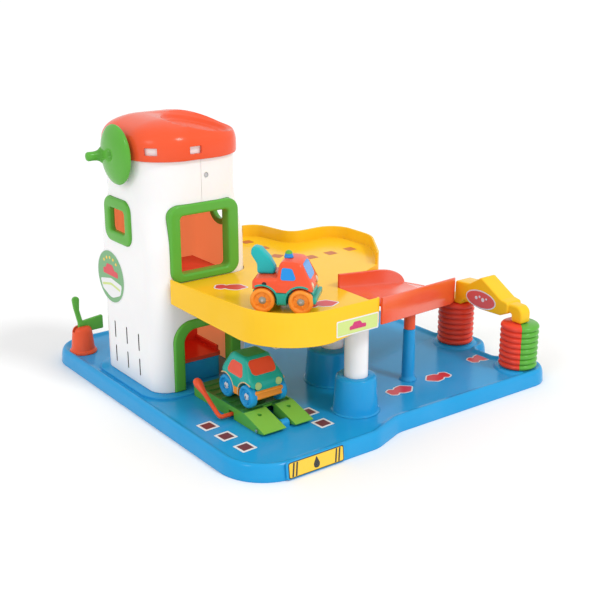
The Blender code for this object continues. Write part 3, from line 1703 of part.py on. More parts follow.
def make_shell(name, parent, material, profile, skirt_top, windows, edge=3.0 * MM):
    """Upper body: a thick side profile cut by wheel wells and windows."""
    shell = plate(
        f"{name}_body",
        [fillet(profile, 4)],
        CAR_WIDTH,
        material,
        parent,
        location=(0, CAR_WIDTH / 2, 0),
        tilt=UPRIGHT,
    )
    bevel(shell, edge, 1, 60)
    well_inner = WHEEL_TRACK / 2 - WHEEL_WIDTH / 2 - 1 * MM
    for label, x, side in wheel_places():
        well = cylinder(
            f"{name}_{label}_body_well",
            WHEEL_ARCH,
            (x, side * well_inner, WHEEL_RADIUS),
            (x, side * 40 * MM, WHEEL_RADIUS),
            parent=parent,
            sides=20,
        )
        cut(shell, well)
    for tool in windows:
        cut(shell, tool)
    smooth(shell)
    return shell


def greenhouse(name, parent, side, half_width, screen, slack, material=None):
    """Side windows right across the cab, joined to a leaning windscreen."""
    glass = plate(
        name,
        [inset(fillet(side, 3), slack)],
        2 * half_width,
        material,
        parent,
        location=(0, half_width, 0),
        tilt=UPRIGHT,
    )
    x, z, half_span, half_height, lean, front = screen
    pane = box(
        name + "_screen",
        (slack - 14 * MM, slack - half_span, slack - half_height),
        (front, half_span - slack, half_height - slack),
        parent=parent,
    )
    pane.location = (x, 0, z)
    pane.rotation_euler = (0, -lean, 0)
    fuse(glass, pane)
    return glass


def make_truck():
    """Breakdown truck with a towing boom and a beacon on its cab."""
    place = empty("tow_truck", ROOT, (TRUCK_POSE[0], TRUCK_POSE[1], DECK_FLOOR + GAP), TRUCK_POSE[2])
    skirt = TRUCK_SKIRT
    half = CAR_LENGTH / 2
    make_chassis("tow_truck", place, TEAL, skirt)
    make_running_gear("tow_truck", place, AMBER)
    profile = [
        (-half + 1 * MM, skirt + GAP, 1 * MM),
        (half - 1 * MM, skirt + GAP, 1 * MM),
        (half - 3 * MM, skirt + 9 * MM, 6 * MM),
        (half - 15 * MM, TRUCK_CAB_TOP - 1 * MM, 9 * MM),
        (-3 * MM, TRUCK_CAB_TOP, 6 * MM),
        (-6 * MM, TRUCK_BED_TOP + 1 * MM, 3 * MM),
        (-half + 2 * MM, TRUCK_BED_TOP, 4 * MM),
    ]
    side = [
        (0, TRUCK_BED_TOP, 2 * MM),
        (15 * MM, TRUCK_BED_TOP, 2 * MM),
        (11 * MM, TRUCK_CAB_TOP - 7 * MM, 3 * MM),
        (1 * MM, TRUCK_CAB_TOP - 7 * MM, 3 * MM),
    ]
    lean = math.atan2(12 * MM, 24 * MM)
    screen = (half - 10.5 * MM, TRUCK_CAB_TOP - 13 * MM, 16 * MM, 7.5 * MM, lean)
    opening = greenhouse("truck_opening", place, side, 30 * MM, (*screen, 12 * MM), 0.0)
    make_shell("tow_truck", place, ORANGE, profile, skirt, (opening,))
    glass = greenhouse(
        "tow_truck_windows",
        place,
        side,
        CAR_WIDTH / 2 - 1.6 * MM,
        (*screen, 0.6 * MM),
        GAP,
        SKY,
    )
    smooth(glass)
    beacon = turned(
        "tow_truck_beacon",
        [(0, 8 * MM), (3 * MM, 7.4 * MM), (4.6 * MM, 5 * MM), (5 * MM, 0), (0, 0)],
        SKY,
        place,
        steps=16,
        location=(4 * MM, 0, TRUCK_CAB_TOP + GAP),
    )
    smooth(beacon)
    bed = TRUCK_BED_TOP + 1 * MM + GAP
    boom = plate(
        "tow_truck_boom",
        [
            fillet(
                [
                    (-27 * MM, bed, 2 * MM),
                    (-11 * MM, bed, 2 * MM),
                    (-9 * MM, bed + 6.7 * MM, 3 * MM),
                    (-33 * MM, bed + 26.7 * MM, 3 * MM),
                    (-38 * MM, bed + 24.7 * MM, 3 * MM),
                    (-36 * MM, bed + 18.7 * MM, 3 * MM),
                ],
                3,
            )
        ],
        14 * MM,
        TEAL,
        place,
        location=(0, 7 * MM, 0),
        tilt=UPRIGHT,
    )
    bevel(boom, 1.5 * MM, 1, 60)
    smooth(boom)


def make_hatchback():
    """Round hatchback parked on the service ramp."""
    x, y, turn = HATCH_POSE
    place = empty("hatchback", ROOT, (x, y, RAMP_RIB_TOP + GAP), turn)
    skirt = HATCH_SKIRT
    half = CAR_LENGTH / 2
    make_chassis("hatchback", place, AMBER, skirt)
    make_running_gear("hatchback", place, BLUE)
    profile = [
        (-half + 1 * MM, skirt + GAP, 1 * MM),
        (half - 1 * MM, skirt + GAP, 1 * MM),
        (half - 3 * MM, HATCH_SILL - 2 * MM, 7 * MM),
        (half - 13 * MM, HATCH_SILL + 5 * MM, 8 * MM),
        (10 * MM, HATCH_ROOF, 9 * MM),
        (-24 * MM, HATCH_ROOF, 12 * MM),
        (-half + 1 * MM, HATCH_SILL + 1 * MM, 10 * MM),
    ]
    side = [
        (-19 * MM, HATCH_SILL, 3 * MM),
        (13 * MM, HATCH_SILL, 3 * MM),
        (6 * MM, HATCH_ROOF - 7 * MM, 4 * MM),
        (-15 * MM, HATCH_ROOF - 6.5 * MM, 4 * MM),
    ]
    lean = math.atan2(14 * MM, 13 * MM)
    screen = (16 * MM, HATCH_ROOF - 7.5 * MM, 15.5 * MM, 7 * MM, lean)
    opening = greenhouse("hatch_opening", place, side, 30 * MM, (*screen, 12 * MM), 0.0)
    make_shell("hatchback", place, TEAL, profile, skirt, (opening,))
    glass = greenhouse(
        "hatchback_windows",
        place,
        side,
        CAR_WIDTH / 2 - 1.6 * MM,
        (*screen, 0.6 * MM),
        GAP,
        RED,
    )
    smooth(glass)


def main():
    make_base_tray()
    make_lift_rest()
    make_column_sockets()
    make_tower()
    make_roof()
    make_frames()
    make_lift()
    make_crank()
    make_deck()
    make_road()
    make_arch()
    make_roller("front_roller", ROLLER_FRONT_Y, math.radians(228))
    make_roller("rear_roller", ROLLER_REAR_Y, math.radians(313))
    make_barrier()
    make_ramp()
    make_truck()
    make_hatchback()


clear_scene()
PARTS = new_collection("service_station")
CUTTERS = new_collection("cutters")
BLUE = plastic("blue_plastic", (0.0, 0.24, 0.72))
WHITE = plastic("white_plastic", (0.85, 0.82, 0.80))
ORANGE = plastic("orange_plastic", (0.86, 0.09, 0.012))
GREEN = plastic("green_plastic", (0.07, 0.42, 0.05))
YELLOW = plastic("yellow_plastic", (0.95, 0.62, 0.0))
RED = plastic("red_plastic", (0.68, 0.03, 0.02))
TEAL = plastic("teal_plastic", (0.0, 0.36, 0.27))
AMBER = plastic("amber_plastic", (0.95, 0.33, 0.03))
SKY = plastic("sky_plastic", (0.0, 0.28, 0.72))
STEEL = plastic("steel", (0.55, 0.55, 0.56), 0.35, 1.0)
CORD = plastic("cord", (0.8, 0.8, 0.78), 0.8)

# The tray's centre is the origin; the crank's peg is the leftmost point.
LEFTMOST = CRANK_PLANE_X - CRANK_PEG_REACH
RIGHTMOST = ROLLER_X + LOBE_RADIUS
ROOT = bpy.data.objects.new("service_station", None)
PARTS.objects.link(ROOT)
ROOT.location = (-(LEFTMOST + RIGHTMOST) / 2, -(BASE_FRONT + BASE_REAR) / 2, 0)

main()
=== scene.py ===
"""Toy service station: finishes and fine forms built around the packed frame."""

import json
import math

import bmesh
import bpy
from bpy.props import FloatProperty, FloatVectorProperty, IntProperty, PointerProperty
from mathutils import Matrix, Vector


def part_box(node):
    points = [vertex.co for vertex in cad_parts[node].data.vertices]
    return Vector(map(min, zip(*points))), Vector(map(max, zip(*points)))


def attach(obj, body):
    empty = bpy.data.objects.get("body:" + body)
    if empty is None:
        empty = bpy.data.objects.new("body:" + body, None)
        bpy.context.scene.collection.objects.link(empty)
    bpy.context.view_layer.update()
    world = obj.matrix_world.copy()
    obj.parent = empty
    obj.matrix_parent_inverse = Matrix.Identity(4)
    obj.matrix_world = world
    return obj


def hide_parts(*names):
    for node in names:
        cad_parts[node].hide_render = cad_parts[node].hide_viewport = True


bl_info = {
    "name": "Toy Service Station", "version": (1, 0, 0), "blender": (4, 5, 0),
    "location": "View3D > Sidebar > Station",
    "description": "Builds the surfaces of a toy service station around its frame",
    "category": "Object",
}

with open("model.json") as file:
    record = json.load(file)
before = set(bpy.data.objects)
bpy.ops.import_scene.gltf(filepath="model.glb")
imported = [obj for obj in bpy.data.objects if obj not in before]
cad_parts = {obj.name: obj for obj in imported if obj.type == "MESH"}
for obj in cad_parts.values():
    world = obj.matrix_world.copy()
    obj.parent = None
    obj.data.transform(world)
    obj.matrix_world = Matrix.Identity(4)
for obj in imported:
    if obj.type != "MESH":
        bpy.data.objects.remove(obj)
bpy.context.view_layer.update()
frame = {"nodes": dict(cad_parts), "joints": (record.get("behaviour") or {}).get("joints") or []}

MM = 0.001


def mm(*values):
    return tuple(value * MM for value in values)


def scaled(points):
    """Points given in millimetres, in metres."""
    return [mm(*point) for point in points]


QUARTER = math.pi / 2
UPRIGHT = (QUARTER, 0, 0)
SIDEWAYS = (QUARTER, 0, QUARTER)

# The drawing's own origin lies 250 mm in from the tray's left and front edges.
TRAY_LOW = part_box("base_tray")[0]
SHIFT = Vector((TRAY_LOW.x + 250 * MM, TRAY_LOW.y + 250 * MM, 0))
JOINTS = {joint["name"]: joint for joint in frame["joints"]}

BASE_LEFT = -250 * MM
BASE_RIGHT = 212 * MM
BASE_REAR = 245 * MM
BASE_FLOOR = 17 * MM
PLINTH_TOP = 20 * MM

TOWER_X = -153 * MM
TOWER_Y = 62 * MM
TOWER_HALF_WIDTH = 69 * MM
TOWER_HALF_DEPTH = 74 * MM
TOWER_WALL = 3 * MM
TOWER_FRONT = TOWER_Y - TOWER_HALF_DEPTH
TOWER_LEFT = TOWER_X - TOWER_HALF_WIDTH
TOWER_RIGHT = TOWER_X + TOWER_HALF_WIDTH
TOWER_TOP = 323 * MM
CORNER_LOW = 25 * MM
CORNER_HIGH = 51 * MM
SHOULDER_LOW = 195 * MM
SHOULDER_HIGH = 262 * MM

WINDOW = mm(72, 225.5)
PORTHOLE = mm(52, 229)
DOOR_X = -151 * MM
DOOR_HALF = 48.5 * MM
CRANK = mm(53, 311)
CRANK_PLANE = -231 * MM

SIGN = mm(-163, -249.2, 11.3)
SIGN_LEAN = math.radians(84)

DECK_FLOOR = 160 * MM
DECK_FRONT = -217 * MM
DECK_END_X = -46 * MM
FRONT_COLUMN = mm(-48, -178)
REAR_COLUMN = mm(-10, -85)
COLUMN_HEAD = 152.8 * MM
SOCKET_TOP = 62 * MM
ROAD_POST = mm(66, -146)
ROAD_POST_TOP = 86 * MM
BARRIER = mm(-224, 194)
ROLLER_X = 209 * MM
LOBE_RADIUS = 36 * MM
ROLLER_YS = {"front_roller": -203 * MM, "rear_roller": -87 * MM}

WHEEL_X = 21.5 * MM
HALF_TRACK = 21.5 * MM
AXLE_Z = 14 * MM
WELL_RADIUS = 16.5 * MM
ARCH_INNER = 16.6 * MM
VEHICLE_HALF = 25 * MM
VEHICLE_WIDTH = 2 * VEHICLE_HALF
NOSE = 37 * MM
GAP = 0.3 * MM
FILM = 0.12 * MM


def shade(name, text, colour):
    return FloatVectorProperty(name=name, description=text, subtype="COLOR", default=colour)


class StationColours(bpy.types.PropertyGroup):
    """Plastic colours of the toy."""

    blue: shade("Tray", "Tray plastic", (0.0, 0.33, 0.7))
    white: shade("Tower", "Tower plastic", (0.93, 0.92, 0.92))
    orange: shade("Roof", "Roof and road plastic", (0.86, 0.085, 0.016))
    green: shade("Frames", "Frame and ramp plastic", (0.1, 0.42, 0.035))
    yellow: shade("Deck", "Deck plastic", (0.98, 0.57, 0.0))
    red: shade("Lift", "Lift and roller plastic", (0.85, 0.05, 0.018))
    teal: shade("Vehicle bodies", "Teal vehicle plastic", (0.0, 0.36, 0.27))
    amber: shade("Bumpers", "Amber vehicle plastic", (0.95, 0.3, 0.015))
    sky: shade("Truck windows", "Blue vehicle plastic", (0.0, 0.27, 0.75))


class StationSizes(bpy.types.PropertyGroup):
    """Sizes of the fine forms, in metres."""

    edge: FloatProperty(
        name="Edge", description="Radius that softens moulded edges", default=0.0007, min=0.0,
        unit="LENGTH",
    )
    frame_round: FloatProperty(
        name="Frame rounding", description="Rounding of door frames", default=0.0028, min=0.0,
        unit="LENGTH",
    )
    ribs: IntProperty(name="Roller ribs", description="Ribs on each wash roller", default=8, min=2)
    floor_size: FloatProperty(
        name="Floor", description="Width of the studio floor", default=40.0, min=1.0, unit="LENGTH"
    )


def colours():
    return bpy.context.scene.station_colours


def sizes():
    return bpy.context.scene.station_sizes


class Field:
    """A shader socket that takes part in arithmetic."""

    def __init__(self, finish, socket):
        self.finish = finish
        self.socket = socket

    def math(self, operation, *terms):
        return self.finish.node("ShaderNodeMath", {"operation": operation}, dict(enumerate(terms)))

    def __add__(self, other):
        return self.math("ADD", self, other)

    __radd__ = __add__

    def __mul__(self, other):
        return self.math("MULTIPLY", self, other)


class Finish:
    """A Principled material whose graph is written as expressions."""

    def __init__(self, name, colour, roughness, constants=None):
        self.material = bpy.data.materials.new(name)
        self.material.use_nodes = True
        self.material.diffuse_color = (*colour, 1.0)
        self.tree = self.material.node_tree
        self.shader = self.tree.nodes["Principled BSDF"]
        self.set("Base Color", (*colour, 1.0))
        self.set("Roughness", roughness)
        for name, value in (constants or {}).items():
            self.set(name, value)

    def set(self, name, value):
        self.shader.inputs[name].default_value = value

    def feed(self, name, field):
        self.tree.links.new(field.socket, self.shader.inputs[name])

    def node(self, kind, settings=None, inputs=None, output=0):
        made = self.tree.nodes.new(kind)
        for name, value in (settings or {}).items():
            setattr(made, name, value)
        for key, value in (inputs or {}).items():
            if isinstance(value, Field):
                self.tree.links.new(value.socket, made.inputs[key])
            else:
                made.inputs[key].default_value = value
        return Field(self, made.outputs[output])

    def place(self):
        return self.node("ShaderNodeTexCoord", output="Object")

    def noise(self, place, scale, detail=2.0):
        inputs = {"Vector": place, "Scale": scale, "Detail": detail, "Roughness": 0.5}
        return self.node("ShaderNodeTexNoise", {}, inputs, "Fac")

    def mix(self, factor, first, second):
        """Blend two colours; either may be a field."""
        return self.node(
            "ShaderNodeMix", {"data_type": "RGBA"}, {0: factor, 6: first, 7: second}, 2
        )

    def relief(self, height, strength, distance):
        soft = self.node("ShaderNodeBevel", {"samples": 4}, {"Radius": sizes().edge}, "Normal")
        inputs = {"Height": height, "Strength": strength, "Distance": distance, "Normal": soft}
        self.feed("Normal", self.node("ShaderNodeBump", {}, inputs, "Normal"))


FINISHES = {}


def known(make):
    """Keep each material by its name, the maker's own if none is given."""

    def look_up(name=make.__name__, *values, **more):
        if name not in FINISHES:
            FINISHES[name] = make(name, *values, **more).material
        return FINISHES[name]

    return look_up


def tint(colour, share):
    """Darker below 1, towards white above it."""
    if share <= 1:
        return tuple(c * share for c in colour) + (1.0,)
    return tuple(c + (1 - c) * (share - 1) for c in colour) + (1.0,)


@known
def moulded(name, colour, roughness=0.19, coat=0.03, glow=0.0):
    """Glossy injection-moulded plastic: slight flow marks and a fine skin."""
    constants = {
        "IOR": 1.5, "Specular IOR Level": 0.2, "Coat Roughness": 0.08, "Subsurface Weight": glow,
        "Subsurface Scale": 0.004,
    }
    finish = Finish(name, colour, roughness, constants)
    place = finish.place()
    cloud = finish.noise(place, 16, 3.0)
    flow = finish.noise(place, 70, 2.0)
    skin = finish.noise(place, 2200, 2.0)
    finish.feed("Base Color", finish.mix(cloud, tint(colour, 0.93), tint(colour, 1.035)))
    finish.feed("Roughness", roughness * 0.72 + flow * 0.16 * roughness + cloud * 0.4 * roughness)
    finish.feed("Coat Weight", coat * 0.8 + cloud * 0.4 * coat)
    finish.relief(flow * 0.8 + skin * 0.2, 0.14, 0.0005)
    return finish


@known
def vinyl(name, colour):
    """Printed film: faint print mottle and edges that lift a little."""
    roughness = 0.3
    finish = Finish(name, colour, roughness)
    place = finish.place()
    mottle = finish.noise(place, 900, 2.0)
    sag = finish.noise(place, 60, 2.0)
    finish.feed("Base Color", finish.mix(mottle, tint(colour, 0.94), tint(colour, 1.05)))
    finish.feed("Roughness", roughness * 0.8 + sag * 0.4 * roughness)
    finish.relief(sag, 0.08, 0.0004)
    return finish


@known
def drawn_steel(name):
    colour = (0.6, 0.6, 0.61)
    finish = Finish(name, colour, 0.3, {"Metallic": 1.0})
    place = finish.place()
    scratch = finish.noise(place, 1500, 3.0)
    finish.feed("Base Color", finish.mix(scratch, tint(colour, 0.8), tint(colour, 1.1)))
    finish.feed("Roughness", 0.22 + scratch * 0.2)
    finish.relief(scratch, 0.1, 0.0002)
    return finish


@known
def twine(name):
    colour = (0.82, 0.82, 0.8)
    finish = Finish(name, colour, 0.85)
    place = finish.place()
    strand = finish.node(
        "ShaderNodeTexWave", {"wave_type": "BANDS", "bands_direction": "DIAGONAL"},
        {"Vector": place, "Scale": 420.0, "Distortion": 1.5}, "Fac",
    )
    finish.feed("Base Color", finish.mix(strand, tint(colour, 0.7), tint(colour, 1.05)))
    finish.relief(strand, 0.5, 0.0004)
    return finish


LOOKS = {
    "white": {"glow": 0.06}, "amber": {"roughness": 0.24}, "sky": {"roughness": 0.14, "coat": 0.3}
}


def plastic(word):
    return moulded(f"{word}_moulding", getattr(colours(), word), **LOOKS.get(word, {}))


def cream():
    return moulded("cream_trim", (0.8, 0.55, 0.3), 0.3)


# Painted shade: flat black for the tower's slot sides and the truck's bed hole, where only shade
# falls.
def black():
    return moulded("black_trim", (0.012, 0.012, 0.014), 0.35)


def fillet(corners, steps=10):
    """An outline from (x, y, radius) corners, each rounded by an arc."""
    outline = []
    for i, (x, y, radius) in enumerate(corners):
        before = Vector(corners[i - 1][:2])
        corner = Vector((x, y))
        after = Vector(corners[(i + 1) % len(corners)][:2])
        inward = (before - corner).normalized()
        onward = (after - corner).normalized()
        half = inward.angle(onward) / 2
        if radius <= 0 or half > QUARTER - 0.01:
            outline.append((x, y))
            continue
        reach = radius / math.tan(half)
        centre = corner + (inward + onward).normalized() * (radius / math.sin(half))
        start = corner + inward * reach - centre
        sweep = start.angle_signed(corner + onward * reach - centre)
        for k in range(steps + 1):
            arm = start.copy()
            arm.rotate(Matrix.Rotation(-sweep * k / steps, 2))
            outline.append(tuple(centre + arm))
    return outline


def inset(outline, distance):
    """Move a counter-clockwise outline inwards by a distance."""
    moved = []
    for i, point in enumerate(outline):
        point = Vector(point)
        first = (point - Vector(outline[i - 1])).normalized()
        second = (Vector(outline[(i + 1) % len(outline)]) - point).normalized()
        normal_a = Vector((-first.y, first.x))
        normal_b = Vector((-second.y, second.x))
        shift = (normal_a + normal_b) / (1 + normal_a.dot(normal_b))
        moved.append(tuple(point + shift * distance))
    return moved


def rectangle(centre_x, centre_y, half_x, half_y, radius, steps=10):
    return fillet(
        [
            (centre_x - half_x, centre_y - half_y, radius),
            (centre_x + half_x, centre_y - half_y, radius),
            (centre_x + half_x, centre_y + half_y, radius),
            (centre_x - half_x, centre_y + half_y, radius),
        ],
        steps,
    )


def pad(half_x, half_y, radius, steps=10):
    """A rounded rectangle about the origin, given in millimetres."""
    return rectangle(0, 0, *mm(half_x, half_y, radius), steps)


def ellipse(centre_x, centre_y, radius_x, radius_y=None, count=48):
    radius_y = radius_y or radius_x
    turns = [2 * math.pi * i / count for i in range(count)]
    return [(centre_x + radius_x * math.cos(a), centre_y + radius_y * math.sin(a)) for a in turns]


def at_height(outline, z):
    return [(x, y, z) for x, y in outline]


def clamp(value, low=0.0, high=1.0):
    return min(max(value, low), high)


def mix(low, high, share):
    return low + (high - low) * clamp(share)


def ease(share):
    share = clamp(share)
    return share * share * (3 - 2 * share)


def link(name, mesh):
    item = bpy.data.objects.new(name, mesh)
    bpy.context.scene.collection.objects.link(item)
    return item


def from_bmesh(name, bm):
    bmesh.ops.recalc_face_normals(bm, faces=bm.faces)
    mesh = bpy.data.meshes.new(name)
    bm.to_mesh(mesh)
    bm.free()
    return link(name, mesh)


def settle(item):
    """Apply the modifiers of an item to its mesh."""
    graph = bpy.context.evaluated_depsgraph_get()
    mesh = bpy.data.meshes.new_from_object(item.evaluated_get(graph))
    item.modifiers.clear()
    item.data = mesh
    return item


def drop(*items):
    for item in items:
        bpy.data.objects.remove(item, do_unlink=True)


def combine(target, tools, operation):
    """Boolean modifiers with the tools, applied; the tools are removed."""
    faces = len(target.data.polygons)
    for tool in tools:
        step = target.modifiers.new(operation, "BOOLEAN")
        step.operation = operation
        step.solver = "EXACT"
        step.object = tool
    settle(target)
    drop(*tools)
    if not target.data.polygons:
        raise RuntimeError(f"{target.name} has nothing left after its {operation.lower()}")
    if operation == "UNION" and len(target.data.polygons) < faces / 2:
        raise RuntimeError(f"{target.name} lost most of its faces in its union")
    return target


def cut(target, *tools):
    return combine(target, tools, "DIFFERENCE")


def fuse(target, *tools):
    return combine(target, tools, "UNION")


def block(name, low, high, rounding=0.0, segments=3):
    low, high = Vector(low), Vector(high)
    bm = bmesh.new()
    size = Matrix.Diagonal((high - low).to_4d())
    size[3][3] = 1.0
    bmesh.ops.create_cube(bm, size=1.0, matrix=Matrix.Translation((low + high) / 2) @ size)
    if rounding:
        bmesh.ops.bevel(
            bm, geom=bm.edges[:], offset=rounding, segments=segments, profile=0.5, affect="EDGES"
        )
    return from_bmesh(name, bm)


def cylinder(name, radius, start, end, sides=48):
    start, end = Vector(start), Vector(end)
    along = end - start
    turn = Vector((0, 0, 1)).rotation_difference(along).to_matrix().to_4x4()
    bm = bmesh.new()
    bmesh.ops.create_cone(
        bm, cap_ends=True, segments=sides, radius1=radius, radius2=radius, depth=along.length,
        matrix=Matrix.Translation((start + end) / 2) @ turn,
    )
    return from_bmesh(name, bm)


def rod(name, radius, left, right, place, sides=48):
    """A cylinder along X at a (y, z) place."""
    return cylinder(name, radius, (left, *place), (right, *place), sides)


def pillar(name, radius, place, low, high, sides=48):
    """A cylinder along Z at an (x, y) place."""
    return cylinder(name, radius, (*place, low), (*place, high), sides)


def turned(
    name, profile, steps=64, location=(0, 0, 0), tilt=(0, 0, 0), sweep=2 * math.pi, start=0.0
):
    """Spin a (radius, height) profile about Z, then tilt and place it."""
    whole = abs(sweep - 2 * math.pi) < 1e-6
    count = steps if whole else steps + 1
    bm = bmesh.new()
    rings = []
    for k in range(count):
        angle = start + sweep * k / steps
        rings.append([
            bm.verts.new((r * math.cos(angle), r * math.sin(angle), z)) for r, z in profile
        ])
    for k in range(steps):
        first, second = rings[k], rings[(k + 1) % count]
        for i in range(len(profile) - 1):
            bm.faces.new((first[i], second[i], second[i + 1], first[i + 1]))
    if not whole:
        bm.faces.new(rings[0])
        bm.faces.new(rings[-1][::-1])
    bmesh.ops.remove_doubles(bm, verts=bm.verts, dist=0.000001)
    matrix = Matrix.LocRotScale(Vector(location), euler(tilt), None)
    bm.transform(matrix)
    return from_bmesh(name, bm)


def spun(angle, axis):
    return Matrix.Rotation(angle, 4, axis)


def shifted(x, y, z):
    return Matrix.Translation((x, y, z))


def placed(x, y, z):
    return Matrix.Translation(SHIFT + Vector((x, y, z)))


def euler(tilt):
    return Matrix.Rotation(tilt[2], 3, "Z") @ Matrix.Rotation(tilt[1], 3, "Y") @ Matrix.Rotation(
        tilt[0], 3, "X"
    )


def from_curve(name, curve, merge):
    shape = link(name, curve)
    graph = bpy.context.evaluated_depsgraph_get()
    bm = bmesh.new()
    bm.from_mesh(bpy.data.meshes.new_from_object(shape.evaluated_get(graph)))
    drop(shape)
    bmesh.ops.remove_doubles(bm, verts=bm.verts, dist=merge)
    return bm


def plate(name, outlines, thick, rounding=0.0, location=(0, 0, 0), tilt=(0, 0, 0), segments=3):
    """Extrude flat outlines with rounded rims; inner outlines are holes."""
    curve = bpy.data.curves.new(name, "CURVE")
    curve.dimensions = "2D"
    curve.fill_mode = "BOTH"
    curve.extrude = thick / 2 - rounding
    curve.bevel_depth = rounding
    curve.bevel_resolution = segments
    curve.offset = -rounding
    for outline in outlines:
        spline = curve.splines.new("POLY")
        spline.points.add(len(outline) - 1)
        spline.use_cyclic_u = True
        for point, (x, y) in zip(spline.points, outline):
            point.co = (x, y, 0, 1)
    bm = from_curve(name, curve, 0.000002)
    bm.transform(shifted(0, 0, thick / 2))
    bm.transform(Matrix.LocRotScale(Vector(location), euler(tilt), None))
    return from_bmesh(name, bm)


def tube(name, points, radii, thickness):
    """A round bar along points, its radius scaled at each of them."""
    curve = bpy.data.curves.new(name, "CURVE")
    curve.dimensions = "3D"
    curve.bevel_depth = thickness
    curve.bevel_resolution = 6
    curve.use_fill_caps = True
    curve.resolution_u = 8
    spline = curve.splines.new("NURBS")
    spline.points.add(len(points) - 1)
    spline.use_endpoint_u = True
    spline.order_u = 3
    for point, place, radius in zip(spline.points, points, radii):
        point.co = (*place, 1)
        point.radius = radius
    return from_bmesh(name, from_curve(name, curve, 0.00001))


def loft(name, rings, hoop=False):
    """Skin rings of equal count; a hoop joins the last ring to the first."""
    bm = bmesh.new()
    loops = [[bm.verts.new(point) for point in ring] for ring in rings]
    count = len(loops[0])
    pairs = list(zip(loops, loops[1:]))
    if hoop:
        pairs.append((loops[-1], loops[0]))
    for first, second in pairs:
        for i in range(count):
            j = (i + 1) % count
            bm.faces.new((first[i], first[j], second[j], second[i]))
    if not hoop:
        bm.faces.new(loops[0][::-1])
        bm.faces.new(loops[-1])
    return from_bmesh(name, bm)


def inlay(name, body, tool, swell=0.25 * MM):
    """A skin that follows a body's surface inside a tool, slightly proud."""
    skin = link(name, body.data.copy())
    skin.matrix_world = body.matrix_world
    low = Vector(min(v.co[i] for v in skin.data.vertices) for i in range(3))
    high = Vector(max(v.co[i] for v in skin.data.vertices) for i in range(3))
    middle = (low + high) / 2
    grow = [1 + 2 * swell / (high[i] - low[i]) for i in range(3)]
    for v in skin.data.vertices:
        v.co = Vector(middle[i] + (v.co[i] - middle[i]) * grow[i] for i in range(3))
    return combine(skin, [tool], "INTERSECT")


def finish(item, material, body, slot, *nodes, angle=38, place=None):
    """Place a piece, give it its material and tie it to its body."""
    item.data.materials.clear()
    item.data.materials.append(material)
    item.data.shade_smooth()
    item.data.set_sharp_from_angle(angle=math.radians(angle))
    item.matrix_world = (place or Matrix.Translation(SHIFT)) @ item.matrix_world
    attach(item, body)
    if nodes:
        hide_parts(*nodes)
    return item


def coloured(item, word, body, *nodes, **more):
    """Finish a piece in one of the toy's own plastics."""
    return finish(item, plastic(word), body, f"{word}_plastic", *nodes, **more)


def tinge(item, material, chosen):
    """Give a second material to the faces that a test picks by centre and normal."""
    item.data.materials.append(material)
    index = len(item.data.materials) - 1
    for face in item.data.polygons:
        if chosen(face.center, face.normal):
            face.material_index = index


def decal(name, layers, matrix, body):
    """Thin stacked films: each layer is (outlines, material)."""
    bm = bmesh.new()
    materials = []
    for level, (outlines, material) in enumerate(layers):
        thick = FILM * (1 + 0.5 * level)
        sheet = plate(f"{name}_layer", outlines, thick)
        start = len(bm.faces)
        bm.from_mesh(sheet.data)
        drop(sheet)
        bm.faces.ensure_lookup_table()
        for face in bm.faces[start:]:
            face.material_index = level
        materials.append(material)
    mesh = bpy.data.meshes.new(name)
    bm.to_mesh(mesh)
    bm.free()
    item = link(name, mesh)
    for material in materials:
        mesh.materials.append(material)
    item.matrix_world = matrix
    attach(item, body)
    return item


def on_floor(x, y, z, turn):
    return placed(x, y, z) @ spun(turn, "Z")


def paint(material, *nodes):
    """Give packed nodes one material."""
    for name in nodes:
        mesh = frame["nodes"][name].data
        mesh.materials.clear()
        mesh.materials.append(material)


def tray_outline():
    front = BASE_LEFT + 17 * MM
    lobe = ROLLER_X + LOBE_RADIUS
    mid = (ROLLER_YS["front_roller"] + ROLLER_YS["rear_roller"]) / 2
    rear_lobe = ROLLER_YS["rear_roller"] + LOBE_RADIUS
    return fillet(
        [
            (BASE_LEFT, BASE_LEFT, 60 * MM), (-72 * MM, BASE_LEFT, 40 * MM),
            (-26 * MM, front, 40 * MM), (lobe, front - 3 * MM, 34 * MM),
            (lobe, mid - 18 * MM, 22 * MM), (BASE_RIGHT, mid - 18 * MM, 6 * MM),
            (BASE_RIGHT, mid + 18 * MM, 6 * MM), (lobe, mid + 18 * MM, 26 * MM),
            (lobe, rear_lobe, 26 * MM), (BASE_RIGHT, rear_lobe, 6 * MM),
            (BASE_RIGHT, BASE_REAR, 40 * MM), (BASE_LEFT, BASE_REAR, 45 * MM),
        ],
        14,
    )


TRAY_PROFILE = (
    (15.5, 17.0), (12.6, 17.25), (10.6, 18.1), (9.0, 19.3), (7.6, 20.1), (6.2, 20.5), (4.8, 20.3),
    (3.6, 19.5), (2.4, 17.8), (1.5, 15.2), (0.9, 12.0), (0.4, 6.0), (0.0, 1.0), (0.5, 0.0),
    (2.6, 0.0), (3.6, 14.4),
)


def column_socket(name, place, radius):
    top = SOCKET_TOP
    bore = 14.6 * MM
    low = BASE_FLOOR + GAP
    socket = turned(
        name,
        [
            (0, top - 12 * MM), (bore, top - 12 * MM), (bore, top - 0.6 * MM),
            (bore + 0.6 * MM, top), (radius - 5.5 * MM, top), (radius - 3.6 * MM, top - 0.5 * MM),
            (radius - 2.4 * MM, top - 1.8 * MM), (radius - 1.9 * MM, top - 4 * MM),
            (radius + 0.4 * MM, BASE_FLOOR + 5 * MM), (radius + 1.2 * MM, BASE_FLOOR + 1.8 * MM),
            (radius + 3 * MM, BASE_FLOOR + 0.9 * MM), (radius + 3.2 * MM, low), (0, low),
        ],
        location=(*place, 0),
    )
    coloured(socket, "blue", "station", name)


